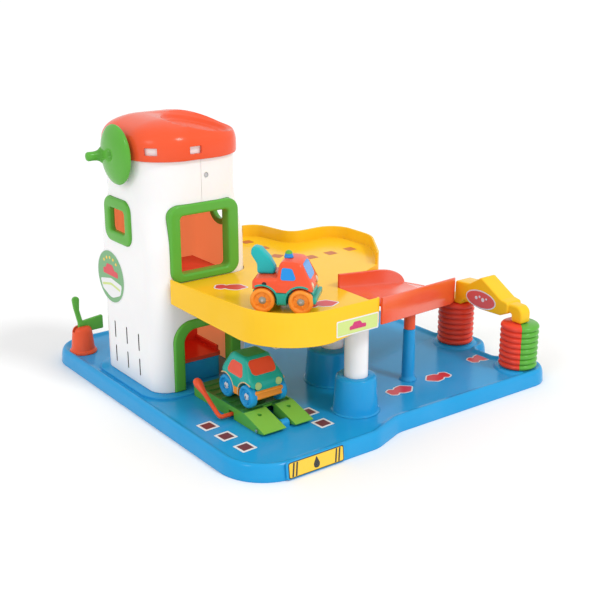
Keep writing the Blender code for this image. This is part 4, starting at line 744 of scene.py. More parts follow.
def build_tray():
    outline = tray_outline()
    tray = loft(
        "tray_moulding", [at_height(inset(outline, d * MM), z * MM) for d, z in TRAY_PROFILE]
    )
    plinth = plate(
        "plinth",
        [rectangle(
            TOWER_X, TOWER_Y, TOWER_HALF_WIDTH + 13 * MM, TOWER_HALF_DEPTH + 13 * MM, 38 * MM
        )],
        5.2 * MM, 1.2 * MM, location=(0, 0, PLINTH_TOP - 5.2 * MM),
    )
    fuse(tray, plinth)
    for y in ROLLER_YS.values():
        foot = turned(
            "foot",
            scaled([
                (3.4, 19.7), (28, 19.7), (29.4, 19), (31, 17.3), (31.4, 15.2), (3.4, 15.2),
                (3.4, 19.7),
            ]),
            56, location=(ROLLER_X, y, 0),
        )
        fuse(tray, foot)
    seat = pillar("seat", 18.8 * MM, BARRIER, BASE_FLOOR, 30 * MM)
    cut(tray, seat)
    for left, right, y, z, radius in (
        (-149.5, -139, -164, 20.8, 2.4), (-176, -171, -111, 22.5, 3), (-152, -147, -111, 22.5, 3)
    ):
        ear = plate(
            "ear",
            [fillet(
                [(y - 5, 15.5, 0), (y + 5, 15.5, 0), (y + 5, z + 4.4, 4.4), (y - 5, z + 4.4, 4.4)],
                6,
            )],
            right - left, 0.5, location=(left, 0, 0), tilt=SIDEWAYS,
        )
        ear.data.transform(Matrix.Scale(MM, 4))
        fuse(tray, ear)
        bore = rod("bore", radius * MM, (left - 1) * MM, (right + 1) * MM, mm(y, z), 24)
        cut(tray, bore)
    coloured(tray, "blue", "station", "base_tray", angle=32)
    sign = plate("front_sign_pad", [pad(40.5, 10.6, 4)], 2.4 * MM, 0.9 * MM)
    sign.matrix_world = shifted(*SIGN) @ spun(SIGN_LEAN, "X") @ shifted(0, 0, -0.9 * MM)
    coloured(sign, "blue", "station")


def mast_room(low, high):
    """A block that leaves the mast's ends a little play."""
    mast_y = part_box("lift_mast")[0].y - SHIFT.y
    return block(
        "mast_room", (-158.3 * MM, mast_y - GAP, low), (-147.7 * MM, mast_y + 8.3 * MM, high)
    )


def build_sockets():
    """The lift's rest, the columns' sockets and the post under the road."""
    column_socket("front_column_socket", FRONT_COLUMN, 26.5 * MM)
    column_socket("rear_column_socket", REAR_COLUMN, 34 * MM)
    low = BASE_FLOOR + GAP
    post = turned(
        "road_post",
        [
            (0, ROAD_POST_TOP), (6.8 * MM, ROAD_POST_TOP), mm(7.7, 85.2), mm(8.4, 24), mm(9.3, 20),
            mm(11.5, 18.1), (11.7 * MM, low), (0, low),
        ],
        40, location=(*ROAD_POST, 0),
    )
    coloured(post, "blue", "station", "road_post")
    rest_low, rest_high = mm(20.3, 47.7)
    outline = rectangle(TOWER_X, 46 * MM, 30 * MM, 42 * MM, 4 * MM)
    rest = plate("lift_stop", [outline], rest_high - rest_low, 1 * MM, location=(0, 0, rest_low))
    cut(rest, mast_room(38 * MM, 60 * MM))
    coloured(rest, "blue", "station", "lift_rest")


def tower_corner(z):
    return mix(CORNER_LOW, CORNER_HIGH, ease((z - SHOULDER_LOW) / (SHOULDER_HIGH - SHOULDER_LOW)))


def tower_ring(z, offset=0.0):
    return at_height(
        rectangle(
            TOWER_X, TOWER_Y, TOWER_HALF_WIDTH + offset, TOWER_HALF_DEPTH + offset,
            tower_corner(z) + offset, 14,
        ),
        z,
    )


def upper_door(border_side=0.0, border_top=0.0, border_foot=0.0, radius=15 * MM):
    low = DECK_FLOOR + GAP + border_foot
    high = 255 * MM - border_top
    return rectangle(DOOR_X, (low + high) / 2, DOOR_HALF - border_side, (high - low) / 2, radius)


def lower_door(border=0.0, foot=0.0, grow=0.0):
    half = DOOR_HALF - border + grow
    top = 110 * MM - border * 0.8 + grow
    corner = 26 * MM - border * 0.6 + grow
    bottom = PLINTH_TOP + GAP - foot
    return fillet(
        [
            (DOOR_X - half, bottom, 0), (DOOR_X + half, bottom, 0), (DOOR_X + half, top, corner),
            (DOOR_X - half, top, corner),
        ],
        12,
    )


def side_window(border=0.0):
    return rectangle(*WINDOW, 33 * MM - border, 28.5 * MM - border, 15 * MM - border * 0.75)


def faces_shaft(centre, normal):
    """True for a face of the tower's wall that looks into the shaft."""
    outward = Vector((centre.x - TOWER_X, centre.y - TOWER_Y, 0))
    return abs(normal.z) < 0.9 and outward.normalized().dot(normal) < -0.35


def in_slot(centre, normal):
    """True for the narrow faces inside the left wall's slots."""
    by_wall = centre.x < TOWER_LEFT + TOWER_WALL and abs(centre.y - 66 * MM) < 34 * MM
    return by_wall and 32 * MM < centre.z < 90 * MM and abs(normal.x) < 0.5


def build_tower():
    foot = PLINTH_TOP + GAP
    levels = [foot, foot + 1 * MM, 120 * MM, SHOULDER_LOW]
    levels += [SHOULDER_LOW + (SHOULDER_HIGH - SHOULDER_LOW) * k / 10 for k in range(1, 11)]
    levels += [290 * MM, TOWER_TOP]
    outer = [tower_ring(z, -0.6 * MM if z == foot else 0.0) for z in levels]
    inner = [tower_ring(z, -TOWER_WALL) for z in reversed(levels)]
    shell = loft("tower", outer + inner, hoop=True)
    reach = 40 * MM

    def front_hole(outline):
        return plate("hole", [outline], reach, 0, (0, TOWER_FRONT + reach / 2, 0), UPRIGHT)

    def left_hole(outline):
        return plate("hole", [outline], reach, 0, (TOWER_LEFT - reach / 2, 0, 0), SIDEWAYS)

    tools = [
        front_hole(inset(upper_door(), -GAP)), front_hole(lower_door(0, 10 * MM, GAP)),
        left_hole(inset(side_window(), -GAP)),
        rod("shaft_hole", 4.4 * MM, TOWER_LEFT - reach, TOWER_LEFT + reach, CRANK),
        rod("porthole", 24.3 * MM, TOWER_RIGHT - reach, TOWER_RIGHT + reach, PORTHOLE, 64),
        turned(
            "screw_hole", scaled([(0, 9), (3.2, 9), (3.2, -1.6), (1.6, -1.6), (1.6, -9), (0, -9)]),
            24, (TOWER_X + 7 * MM, TOWER_FRONT, 287 * MM), UPRIGHT,
        ),
    ]
    for z in mm(77.5, 44.5):
        for column in (-1, 0, 1):
            y = 66 * MM + column * 31 * MM
            tools.append(left_hole(rectangle(y, z, 1.25 * MM, 11.3 * MM, 1.2 * MM, 5)))
    cut(shell, *tools)
    seam = 0.15 * MM
    far = 300 * MM
    panel = 39.2 * MM
    room = panel + GAP
    pieces = []
    for name, left, right, node in (
        ("left_tower_shell", -far, TOWER_X - seam, "tower_left_shell"),
        ("right_tower_shell", TOWER_X + seam, far, "tower_right_shell"),
        ("tower_back", TOWER_X - panel, TOWER_X + panel, "tower_back_panel"),
    ):
        piece = link(name, shell.data.copy())
        near = TOWER_Y if name == "tower_back" else -far
        combine(piece, [block("keep", (left, near, -far), (right, far, 2 * far))], "INTERSECT")
        if near == -far:
            cut(
                piece,
                block("room", (TOWER_X - room, TOWER_Y, -far), (TOWER_X + room, far, 2 * far)),
            )
        pieces.append((piece, node))
    inside_glow = moulded("tower_lining", (0.95, 0.42, 0.2), 0.4)
    # Painted light: the shaft's inner faces take an orange colour and a glow that stand in for
    # daylight coming through the thin walls.
    through = inside_glow.node_tree.nodes["Principled BSDF"].inputs
    through["Emission Color"].default_value = (0.9, 0.34, 0.14, 1)
    through["Emission Strength"].default_value = 0.3
    for piece, node in pieces:
        coloured(piece, "white", "station", node, angle=30)
        # The faces that look into the shaft get the painted orange glow.
        tinge(piece, inside_glow, faces_shaft)
        # Painted shade: the slot sides in the left wall are black for the shade inside the slots.
        if node == "tower_left_shell":
            tinge(piece, black(), in_slot)
    drop(shell)
    paint(drawn_steel(), "tower_screw")


def build_roof():
    """A crowned cap with a scooped dish that leans to its right front."""
    profile = (
        (-20.0, 326.5), (-6.0, 325.5), (0.5, 323.3), (0.5, 307.8), (0.9, 307.2), (2.2, 307.0),
        (3.6, 307.6), (4.2, 309.5), (4.2, 318.0), (4.0, 323.0), (3.2, 327.5), (1.6, 331.6),
        (-1.0, 335.6), (-4.6, 339.2), (-9.0, 342.2), (-14.0, 344.6), (-20.0, 346.8), (-27.0, 348.8),
        (-34.0, 350.2), (-41.0, 350.9), (-48.0, 351.2), (-55.0, 351.0), (-62.0, 350.6),
        (-66.0, 350.4),
    )
    rings = []
    for offset, z in scaled(profile):
        ring = rectangle(
            TOWER_X, TOWER_Y, TOWER_HALF_WIDTH + offset, TOWER_HALF_DEPTH + offset,
            max(min(CORNER_HIGH + offset, TOWER_HALF_WIDTH + offset - 0.2 * MM), 2 * MM), 16,
        )
        rings.append(at_height(ring, z))
    roof = loft("roof_moulding", rings)
    tools = []
    for x, y, turn in ((-208.9 * MM, 4.9 * MM, -48), (-161.5 * MM, TOWER_FRONT, 0)):
        vent = block("vent", mm(-8, -16, -4.5), mm(8, 2.6, 4.5), 0.8 * MM)
        vent.data.transform(shifted(x, y, 319 * MM) @ spun(math.radians(turn), "Z"))
        tools.append(vent)
    outside, inside = TOWER_LEFT - 20 * MM, TOWER_LEFT + 0.1 * MM
    notch = rod("notch", 8 * MM, outside, inside, CRANK)
    notch_foot = block("foot", (outside, *mm(46, 297)), (inside, *mm(60, 310)))
    dish = turned(
        "dish",
        scaled([
            (0, -5.5), (34, -5.5), (37, -5), (39, -3.8), (40.8, -1.4), (41.8, -0.3), (43.4, 0.3),
            (48, 2.2), (60, 9), (60, 24), (0, 24),
        ]),
        96, mm(-131.3, 35.3, 341.7), (math.radians(6.6), math.radians(10.2), 0),
    )
    cut(roof, notch, notch_foot, dish, mast_room(315 * MM, 332 * MM), *tools)
    coloured(roof, "orange", "station", "roof_cap", angle=40)


def build_frames():
    rounding = sizes().frame_round
    front = (0, TOWER_FRONT + 14 * MM, 0)
    outer, inner = lower_door(), lower_door(15 * MM)
    arch = outer[1:] + [outer[0]] + [inner[0]] + inner[:0:-1]
    upper = [upper_door(), upper_door(15 * MM, 13 * MM, 9.7 * MM, 5 * MM)]
    beside = [side_window(), side_window(14 * MM)]
    ring = [ellipse(*PORTHOLE, 24 * MM), ellipse(*PORTHOLE, 16 * MM)]
    left, right = (TOWER_LEFT - 3 * MM, 0, 0), (TOWER_RIGHT - 7 * MM, 0, 0)
    for name, outlines, thick, place, tilt, node in (
        ("upper_door_surround", upper, 17 * MM, front, UPRIGHT, "upper_door_frame"),
        ("lower_door_surround", [arch], 17 * MM, front, UPRIGHT, "lower_door_frame"),
        ("side_window_surround", beside, 9 * MM, left, SIDEWAYS, "side_window_frame"),
        ("porthole_ring", ring, 9 * MM, right, SIDEWAYS, "porthole_frame"),
    ):
        surround = plate(name, outlines, thick, rounding, place, tilt, 4)
        coloured(surround, "green", "station", node)


def build_lift():
    paint(plastic("red"), "lift_carriage")
    paint(plastic("white"), "lift_mast", "winding_drum")
    paint(twine(), "hoist_cord")


def build_crank():
    plane = CRANK_PLANE
    into = TOWER_RIGHT - TOWER_WALL - 1.2 * MM - plane
    hub = TOWER_LEFT - 0.3 * MM - plane
    disc = turned(
        "crank_wheel",
        [
            mm(0, 4.2), mm(2.6, 4.3), mm(4.0, 5.6), mm(5.6, 7.9), mm(7.5, 8.5), mm(12, 8.2),
            mm(20, 7.0), mm(28, 4.9), mm(33, 2.8), mm(35.2, 1.2), mm(36, -0.4), mm(35.4, -1.9),
            mm(34, -2.5), mm(6.5, -2.5), (6.5 * MM, -hub), (4 * MM, -hub), (4 * MM, -into),
            (0, -into),
        ],
        72, (plane, *CRANK), (0, -QUARTER, 0),
    )
    peg = turned(
        "crank_peg",
        [
            mm(0, 25), mm(2.6, 24.8), mm(4.6, 23.9), mm(5.6, 22.2), mm(5.5, 16), mm(5.9, 11.5),
            mm(7.2, 7.5), mm(10.2, 4), mm(12, 1), (0, 0),
        ],
        48, (plane, 80 * MM, 307 * MM), (0, -QUARTER, 0),
    )
    fuse(disc, peg)
    coloured(disc, "green", "crank", "crank_handle")


def road_near(x):
    return -220 * MM + 0.516 * (x - DECK_END_X)


def road_far(x):
    return road_near(x) + mix(81 * MM, 62 * MM, (x - DECK_END_X) / (242 * MM))


def deck_outline():
    side = TOWER_RIGHT + 1.2 * MM
    turn = 60 * MM
    front = TOWER_FRONT - 1.2 * MM
    return fillet(
        [
            (-204 * MM, front, 5 * MM), (-186 * MM, DECK_FRONT, 78 * MM),
            (DECK_END_X, DECK_FRONT, 3.8 * MM), (DECK_END_X, road_far(DECK_END_X) + 0.6 * MM, 0),
            (turn, road_far(turn) + 0.6 * MM, 20 * MM), mm(106, -25, 50), mm(106, 54, 34),
            mm(27, 54, 20), mm(16, 124, 26), (side, 124 * MM, 5 * MM), (side, front, 26.2 * MM),
        ],
        14,
    )


def deck_skirt(x, y):
    near_tower = (y - TOWER_FRONT + 75 * MM) / (75 * MM)
    near_road = (x - DECK_END_X + 75 * MM) / (75 * MM)
    return 128 * MM + 9.5 * MM * ease(max(near_tower, near_road, 0.0))


def band(name, outline, start, stop, top):
    """A kerb with a rounded crown along part of the deck's outline."""
    sections = (
        (0.0, 159), (0.0, top - 1.2), (0.35, top - 0.35), (1.2, top), (1.9, top), (2.7, top - 0.35),
        (3.0, top - 1.2), (3.0, 159),
    )
    strips = [[(x, y, z * MM) for x, y in inset(outline, d * MM)[start:stop]] for d, z in sections]
    rings = [list(ring) for ring in zip(*strips)]
    return loft(name, rings)


def column_room():
    return pillar("relief", 14.9 * MM, FRONT_COLUMN, 100 * MM, COLUMN_HEAD)


def build_deck():
    outline = deck_outline()
    inner = inset(outline, 3 * MM)
    deck = loft(
        "deck_moulding",
        [
            at_height(outline, DECK_FLOOR),
            [(x, y, deck_skirt(x, y) + 0.8 * MM) for x, y in outline],
            [(x, y, deck_skirt(x, y)) for x, y in inset(outline, 0.8 * MM)],
            [(x, y, deck_skirt(x, y)) for x, y in inset(outline, 2.4 * MM)],
            [(x, y, deck_skirt(x, y) + 0.8 * MM) for x, y in inner],
            at_height(inner, DECK_FLOOR - 3 * MM),
        ],
    )
    entry = road_far(DECK_END_X)
    lip_end = next(
        i for i, p in enumerate(outline) if abs(p[0] - DECK_END_X) < 1e-6 and p[1] > entry
    )
    wall_end = next(
        i for i, p in enumerate(outline) if p[0] < TOWER_RIGHT + 7 * MM and p[1] > 120 * MM
    )
    lip = band("lip", outline, 8, lip_end, 168)
    wall = band("wall", outline, lip_end + 1, wall_end, 176)
    relief = column_room()
    pads = [
        block("front_pad", mm(-60, -190, 152.8), mm(-49.3, -166, 159), 0.4 * MM),
        block("rear_pad", mm(-22, -97, 152.8), mm(2, -73, 159), 0.4 * MM),
    ]
    fuse(deck, lip, wall, *pads)
    cut(deck, relief)
    nodes = ("upper_deck", "deck_skirt", "deck_kerb", "deck_rear_wall")
    coloured(deck, "yellow", "station", *nodes, angle=34)
    for name, place, node in (
        ("front_column", FRONT_COLUMN, "deck_column_front"),
        ("rear_column", REAR_COLUMN, "deck_column_rear"),
    ):
        column = turned(
            name,
            scaled([
                (0, 152.5), (12.6, 152.5), (13.8, 151.6), (14.15, 149), (14.3, 66), (14.3, 50.3),
                (0, 50.3),
            ]),
            56, (*place, 0),
        )
        coloured(column, "white", "station", node)


def road_floor(x):
    start = DECK_END_X + 0.3 * MM
    bend = 130 * MM
    steep = max(0.0, x - bend)
    return DECK_FLOOR - 0.262 * (min(x, bend) - start) - 0.38 * steep


def road_section(x):
    run = x - DECK_END_X
    near = road_near(x)
    far = road_far(x)
    floor = road_floor(x)
    near_top = 168 * MM - 0.214 * run
    near_foot = max(min(136 * MM - 0.235 * run, floor - 5 * MM), 80.6 * MM)
    share = (x - 62 * MM) / (68 * MM)
    far_top = floor + mix(17 * MM, 20 * MM, run / (100 * MM))
    if share > 0:
        far_top = floor + 1.2 * MM + 18.8 * MM * math.sqrt(max(0.0, 1 - share**2))
    far_foot = floor - 8 * MM
    cap = min(1.1 * MM, (far_top - floor) * 0.45)
    cove = min(2.2 * MM, (far_top - floor) * 0.4)
    return [
        (x, near + 0.4 * MM, near_foot), (x, near, near_foot + 0.5 * MM),
        (x, near, near_top - 1.3 * MM), (x, near + 0.4 * MM, near_top - 0.4 * MM),
        (x, near + 1.3 * MM, near_top), (x, near + 2.2 * MM, near_top - 0.2 * MM),
        (x, near + 3 * MM, near_top - 1.2 * MM), (x, near + 3 * MM, floor + 2.2 * MM),
        (x, near + 3.7 * MM, floor + 0.6 * MM), (x, near + 5.2 * MM, floor),
        (x, far - 5.2 * MM, floor), (x, far - 3.7 * MM, floor + cove * 0.3),
        (x, far - 3 * MM, floor + cove), (x, far - 3 * MM, far_top - cap),
        (x, far - 2.2 * MM, far_top - cap * 0.2), (x, far - 1.3 * MM, far_top),
        (x, far - 0.4 * MM, far_top - cap * 0.4), (x, far, far_top - cap * 1.1), (x, far, far_foot),
        (x, far - 3 * MM, far_foot), (x, far - 3 * MM, floor - 3 * MM),
        (x, near + 3 * MM, floor - 3 * MM), (x, near + 3 * MM, near_foot + 0.5 * MM),
        (x, near + 2.6 * MM, near_foot),
    ]


def build_road():
    start = DECK_END_X + 0.12 * MM
    stations = [start, -30 * MM, -10 * MM, 10 * MM, 30 * MM, 50 * MM, 62 * MM]
    stations += [62 * MM + 68 * MM * math.sin(k * QUARTER / 12) for k in range(1, 13)]
    stations += [134 * MM, 140 * MM, 150 * MM, 165 * MM, 180 * MM, 196 * MM]
    road = loft("road_moulding", [road_section(x) for x in stations])
    relief = column_room()
    cut(road, relief)
    leg = pillar("leg", 7.2 * MM, ROAD_POST, 86.3 * MM, road_floor(ROAD_POST[0]) - 2 * MM)
    fuse(road, leg)
    coloured(road, "orange", "station", "exit_road", angle=34)


def build_arch():
    """A hoop from one roller to the other, with a bent leg on the front one."""
    low = 80.3
    hoop = fillet(
        [
            (-69, low, 2.4), (-69, low + 5, 2.4), (-94, low + 5, 1), (-94, 112, 3.5),
            (-120, 114, 14), (-141, 127.5, 4.5), (-178, 106, 5), (-190, 104, 4), (-190, 90, 4),
            (-177, 84, 5), (-140, 83, 8), (-112, 88, 4), (-104, low, 2.6),
        ],
        8,
    )
    elbow = fillet(
        [
            (-176, 90.3, 3.4), (-176, 103, 3.4), (-212, 103, 11), (-212, low, 3.4),
            (-194, low, 3.4), (-194, 90.3, 2),
        ],
        8,
    )
    arch = plate("arch_moulding", [scaled(hoop)], 27 * MM, 2.2 * MM, mm(197, 0, 0), SIDEWAYS, 4)
    leg = plate("arch_leg", [scaled(elbow)], 18 * MM, 3 * MM, mm(200, 0, 0), SIDEWAYS, 4)
    fuse(arch, leg)
    bores = []
    for y in ROLLER_YS.values():
        bores.append(pillar("bore", 3.4 * MM, (ROLLER_X, y), 75 * MM, 83.8 * MM, 28))
    cut(arch, *bores)
    coloured(arch, "yellow", "station", "wash_arch")


def roller_profile(ribs):
    height = 59.4 * MM
    pitch = height / ribs
    bulge = 3.0 * MM
    waist = 22.0 * MM
    points = [(3.3 * MM, height)]
    for rib in range(ribs):
        top = height - rib * pitch
        for k in range(9):
            swell = math.sin(math.pi * k / 8) ** 0.62
            points.append((waist + bulge * swell, top - pitch * k / 8 * 0.999))
    points += [
        mm(3.3, 0.0), mm(3.3, 2.4), mm(19.6, 2.4), (19.6 * MM, height - 2.4 * MM),
        (3.3 * MM, height - 2.4 * MM), (3.3 * MM, height),
    ]
    return points


def build_rollers():
    """Each roller is a red and a green half, as the two shells are moulded."""
    seams = {"front_roller": math.radians(228), "rear_roller": math.radians(313)}
    gap = 0.006
    for name, y in ROLLER_YS.items():
        for half, offset, material in (
            ("green", 0.0, plastic("green")), ("red", math.pi, plastic("red"))
        ):
            shell = turned(
                f"{name}_{half}_shell", roller_profile(sizes().ribs), 36, (ROLLER_X, y, 20.3 * MM),
                sweep=math.pi - gap, start=seams[name] + offset + gap / 2,
            )
            finish(shell, material, name, f"{half}_plastic", f"{name}_{half}_half", angle=50)
        paint(plastic("white"), f"{name}_axle")


def build_barrier():
    foot = BASE_FLOOR + GAP
    top = foot + 37 * MM
    post = turned(
        "barrier_stand",
        [
            (0, top), (6 * MM, top - 0.1 * MM), (9.5 * MM, top - 1.1 * MM),
            (12 * MM, top - 3.4 * MM), (13.3 * MM, top - 7 * MM), (14.3 * MM, top - 15 * MM),
            (15.3 * MM, foot + 9 * MM), (16 * MM, foot + 5 * MM), (17.6 * MM, foot + 3.6 * MM),
            (18.4 * MM, foot + 2 * MM), (18.5 * MM, foot), (0, foot),
        ],
        56, (*BARRIER, 0),
    )
    slot = block("slot", mm(-235, 190.9, 35), mm(-190, 197.1, 70), 0.5 * MM)
    rear_slot = block("rear_slot", mm(-250, 190.9, 47), mm(-224, 197.1, 70), 0.5 * MM)
    cut(post, slot, rear_slot)
    coloured(post, "orange", "station", "barrier_post")
    outline = fillet(
        [
            (-5.5, -5.5, 5), (5.5, -5.5, 5), (9, 0, 4), (31, 0, 2), (31, 19.5, 2), (8, 17, 3),
            (1, 16, 3), (-3, 33, 8), (-1.5, 52, 4.7), (-12.5, 52, 4.7), (-10.5, 36, 8),
            (-5.5, 14, 3),
        ],
        7,
    )
    lever = plate(
        "barrier_arm", [scaled(outline), ellipse(0, 0, 1.8 * MM, count=20)], 5 * MM, 1.4 * MM,
        mm(-224, 196.5, 45), UPRIGHT,
    )
    coloured(lever, "green", "barrier", "barrier_lever")
    paint(drawn_steel(), "barrier_pin", "ramp_pin")


def build_ramp():
    left, right = mm(-182, -112)
    side = fillet(
        scaled([
            (-178, 20.6, 0.5), (-162, 17.3, 3), (-28, 17.3, 0.8), (-28, 33, 1.2), (-138, 33, 10),
            (-178, 22, 0.5),
        ]),
        6,
    )
    ramp = plate("ramp_moulding", [side], right - left, 0, (left, 0, 0), SIDEWAYS)
    surface = 31.5 * MM
    tools = [
        block("hollow", (left + 3.5 * MM, *mm(-134, 0)), (right - 3.5 * MM, *mm(-32, 28.5))),
        block(
            "recess", (left + 3 * MM, -136.5 * MM, surface), (right - 3 * MM, -18 * MM, 40 * MM),
            0.4 * MM,
        ),
        block("slot", mm(-151, -190, 0), mm(-137.5, -130, 40), 0.8 * MM),
        block("notch", (left - 5 * MM, *mm(-116, 0)), (left + 5 * MM, *mm(-106, 26.5))),
        rod("pin_bore", 2.3 * MM, left - 5 * MM, right + 5 * MM, mm(-164, 20.8), 24),
    ]
    for x in mm(-166.5, -124.75):
        tools.append(pillar("hole", 2.6 * MM, (x, -147 * MM), 0, 50 * MM, 28))
    cut(ramp, *tools)
    ribs = []
    for i in range(7):
        y = (-127 + 43 * i / 3) * MM
        ribs.append(plate(
            "rib",
            [fillet(
                [
                    (y - 1.9 * MM, 30 * MM, 0), (y + 1.9 * MM, 30 * MM, 0),
                    (y + 1.2 * MM, 32.9 * MM, 0.9 * MM), (y - 1.2 * MM, 32.9 * MM, 0.9 * MM),
                ],
                4,
            )],
            right - left - 4 * MM, 0, (left + 2 * MM, 0, 0), SIDEWAYS,
        ))
    fuse(ramp, *ribs)
    coloured(ramp, "green", "ramp", "service_ramp", angle=30)

    def ribbed(centre, normal):
        inside = left + 3.2 * MM < centre.x < right - 3.2 * MM and centre.y > -136 * MM
        return inside and 30.5 * MM < centre.z < 33 * MM

    def tongue(centre, normal):
        return centre.y < -137 * MM and normal.z > 0.5

    # Painted shadow: the ribbed floor is a darker green for the car's shadow that falls on it.
    tinge(ramp, moulded("ramp_floor", (0.03, 0.21, 0.03), 0.35), ribbed)
    # Painted light: only the tongue's upward faces get a lighter lime, for the light on its top.
    tinge(ramp, moulded("ramp_lime", (0.2, 0.5, 0.05)), tongue)
    slope = math.radians(30.6)
    rise = Vector((0, math.cos(slope), math.sin(slope)))
    hinge = Vector((-198, -111, 22.5))
    path = [
        Vector((-146, -111, 22.5)), Vector((-170, -111, 22.5)), Vector((-190, -111, 22.5)),
        hinge + Vector((2, 0, 0)), hinge + rise * 3, hinge + rise * 12, hinge + rise * 26,
        hinge + rise * 40, hinge + rise * 47, hinge + rise * 53, hinge + rise * 58,
        hinge + rise * 60.6, hinge + rise * 61,
    ]
    radii = (1, 1, 1, 1, 1, 1, 1.05, 1.15, 1.8, 2.15, 1.95, 1.1, 0.5)
    lever = tube("ramp_handle", [p * MM for p in path], radii, 2.6 * MM)
    finger = block("finger", mm(-162, -125, 20.9), mm(-154, -110, 27.5), 1.2 * MM)
    fuse(lever, finger)
    coloured(lever, "orange", "lever", "ramp_lever", angle=50)


def lean_in(item, start, end, share):
    """Narrow a body's width towards its roof."""
    for v in item.data.vertices:
        v.co.y *= 1 - share * ease((v.co.z - start) / (end - start))


def bow_nose(item, half_length, depth):
    """Round a body's plan so its nose and tail curve across the width."""
    for v in item.data.vertices:
        bulge = (abs(v.co.y) / VEHICLE_HALF) ** 2
        v.co.x -= depth * bulge * clamp(v.co.x / half_length, -1, 1)


def vehicle_wheels(name, place, material, hub_material):
    """Turned wheels with a stepped face and a hub button."""
    half = 4.5
    profile = scaled([
        (1.65, half - 2.6), (8.6, half - 2.6), (9.2, half - 2.0), (9.8, half - 0.5), (10.8, half),
        (12, half - 0.1), (13.2, half - 0.9), (13.9, half - 2.2), (14, half - 3.6),
        (13.8, 1.5 - half), (13.3, 0.4 - half), (12.4, -half), (1.65, -half), (1.65, half - 2.6),
    ])
    hub = scaled([
        (0, half - 0.9), (2.6, half - 1.0), (3.8, half - 1.6), (4.4, half - 2.7), (0, half - 2.8)
    ])
    for end, x in (("front", WHEEL_X), ("rear", -WHEEL_X)):
        body = f"{name}_{end}_wheels"
        paint(drawn_steel(), f"{name}_{end}_axle")
        for hand, side in (("left", 1), ("right", -1)):
            spot = (x, side * HALF_TRACK, AXLE_Z)
            tilt = (-side * QUARTER, 0, 0)
            wheel = turned(f"{name}_{end}_{hand}_tyre", profile, 48, spot, tilt)
            node = f"{name}_{end}_{hand}_wheel"
            slot = "amber_plastic" if name == "tow_truck" else "blue_plastic"
            finish(wheel, material, body, slot, node, place=place)
            button = turned(f"{name}_{end}_{hand}_hub", hub, 32, spot, tilt)
            finish(button, hub_material, body, slot, place=place)
            spokes = []
            for k in range(5):
                angle = 2 * math.pi * k / 5
                spoke = block("spoke", mm(4, -0.9, half - 2.7), mm(9, 0.9, half - 1.7), 0.3 * MM, 2)
                spoke.data.transform(spun(angle, "Z"))
                spoke.data.transform(Matrix.LocRotScale(Vector(spot), euler(tilt), None))
                spokes.append(spoke)
            fuse(spokes[0], *spokes[1:])
            spokes[0].name = f"{name}_{end}_{hand}_spokes"
            finish(spokes[0], material, body, slot, place=place)


def wheel_tools():
    tools = []
    inner = 16 * MM
    for x in (WHEEL_X, -WHEEL_X):
        for side in (-1, 1):
            tools.append(cylinder(
                "well", WELL_RADIUS, (x, side * inner, AXLE_Z), (x, side * 40 * MM, AXLE_Z),
                sides=56,
            ))
    return tools


def arch_trim(name, body, place, material, slot, outer):
    """Raised lips round the wheel arches, cut off where the nose and tail curve in."""
    lips = []
    for side in (-1, 1):
        for x in (WHEEL_X, -WHEEL_X):
            arc = [math.radians(a if x > 0 else 180 - a) for a in range(62, 189, 7)]
            if x < 0:
                arc.reverse()
            ring = [
                (x + radius * math.cos(a), AXLE_Z + radius * math.sin(a))
                for radius, turns in ((outer, arc), (ARCH_INNER, arc[::-1]))
                for a in turns
            ]
            near = side * 25.4 * MM - (2.2 * MM if side > 0 else 0)
            lip = plate("lip", [ring], 2.2 * MM, 0.7 * MM, (0, near + 2.2 * MM, 0), UPRIGHT)
            lips.append(lip)
    fuse(lips[0], *lips[1:])
    lips[0].name = name
    finish(lips[0], material, body, slot, place=place)


def vehicle_place(name):
    """Where a vehicle stands, from the joints of its two axles."""
    front = Vector(JOINTS[f"{name}_front_spin"]["pos_m"])
    rear = Vector(JOINTS[f"{name}_rear_spin"]["pos_m"])
    middle = (front + rear) / 2
    heading = math.atan2(front.y - rear.y, front.x - rear.x)
    middle.z -= AXLE_Z
    return Matrix.Translation(middle) @ spun(heading, "Z")


def lamp_pair(name, body, radius, near, spread, height, swell):
    """Two round lamps on a nose, as one skin; sizes in millimetres."""
    lamps = []
    for side in (-1, 1):
        start, end = mm(near, side * spread, height), mm(45, side * spread, height)
        lamps.append(cylinder("lamp", radius * MM, start, end, sides=32))
    fuse(lamps[0], lamps[1])
    return inlay(name, body, lamps[0], swell)


def side_glass(name, body, corners, steps):
    outline = scaled(fillet(corners, steps))
    tool = plate("side_tool", [outline], 60 * MM, 0, mm(0, 30, 0), UPRIGHT)
    return inlay(name, body, tool)


def window(name, body, outline, depth, place):
    """A skin where a tool of one outline meets a body."""
    tool = plate("window_tool", [outline], depth)
    tool.data.transform(place)
    return inlay(name, body, tool)


def bumper_bar(name, outline, thick, rounding, spot, segments=3):
    bar = plate(name, [outline], thick, rounding, segments=segments)
    bar.data.transform(
        shifted(*spot) @ spun(QUARTER, "Z") @ spun(QUARTER, "X") @ shifted(0, 0, -GAP)
    )
    return bar


def build_chassis(name, place, material, slot, top, nose):
    chassis = plate(
        f"{name}_underbody",
        [fillet([mm(-37, 9, 4), mm(37, 9, 5), (NOSE, top, 3 * MM), (-NOSE, top, 3 * MM)], 6)],
        VEHICLE_WIDTH, 2.8 * MM, (0, VEHICLE_HALF, 0), UPRIGHT,
    )
    bow_nose(chassis, NOSE, nose)
    axles = []
    for x in (WHEEL_X, -WHEEL_X):
        axles.append(cylinder(
            "axle", 2 * MM, (x, -40 * MM, AXLE_Z), (x, 40 * MM, AXLE_Z), sides=24
        ))
    cut(chassis, *wheel_tools(), *axles)
    finish(chassis, material, name, slot, f"{name}_chassis", place=place)


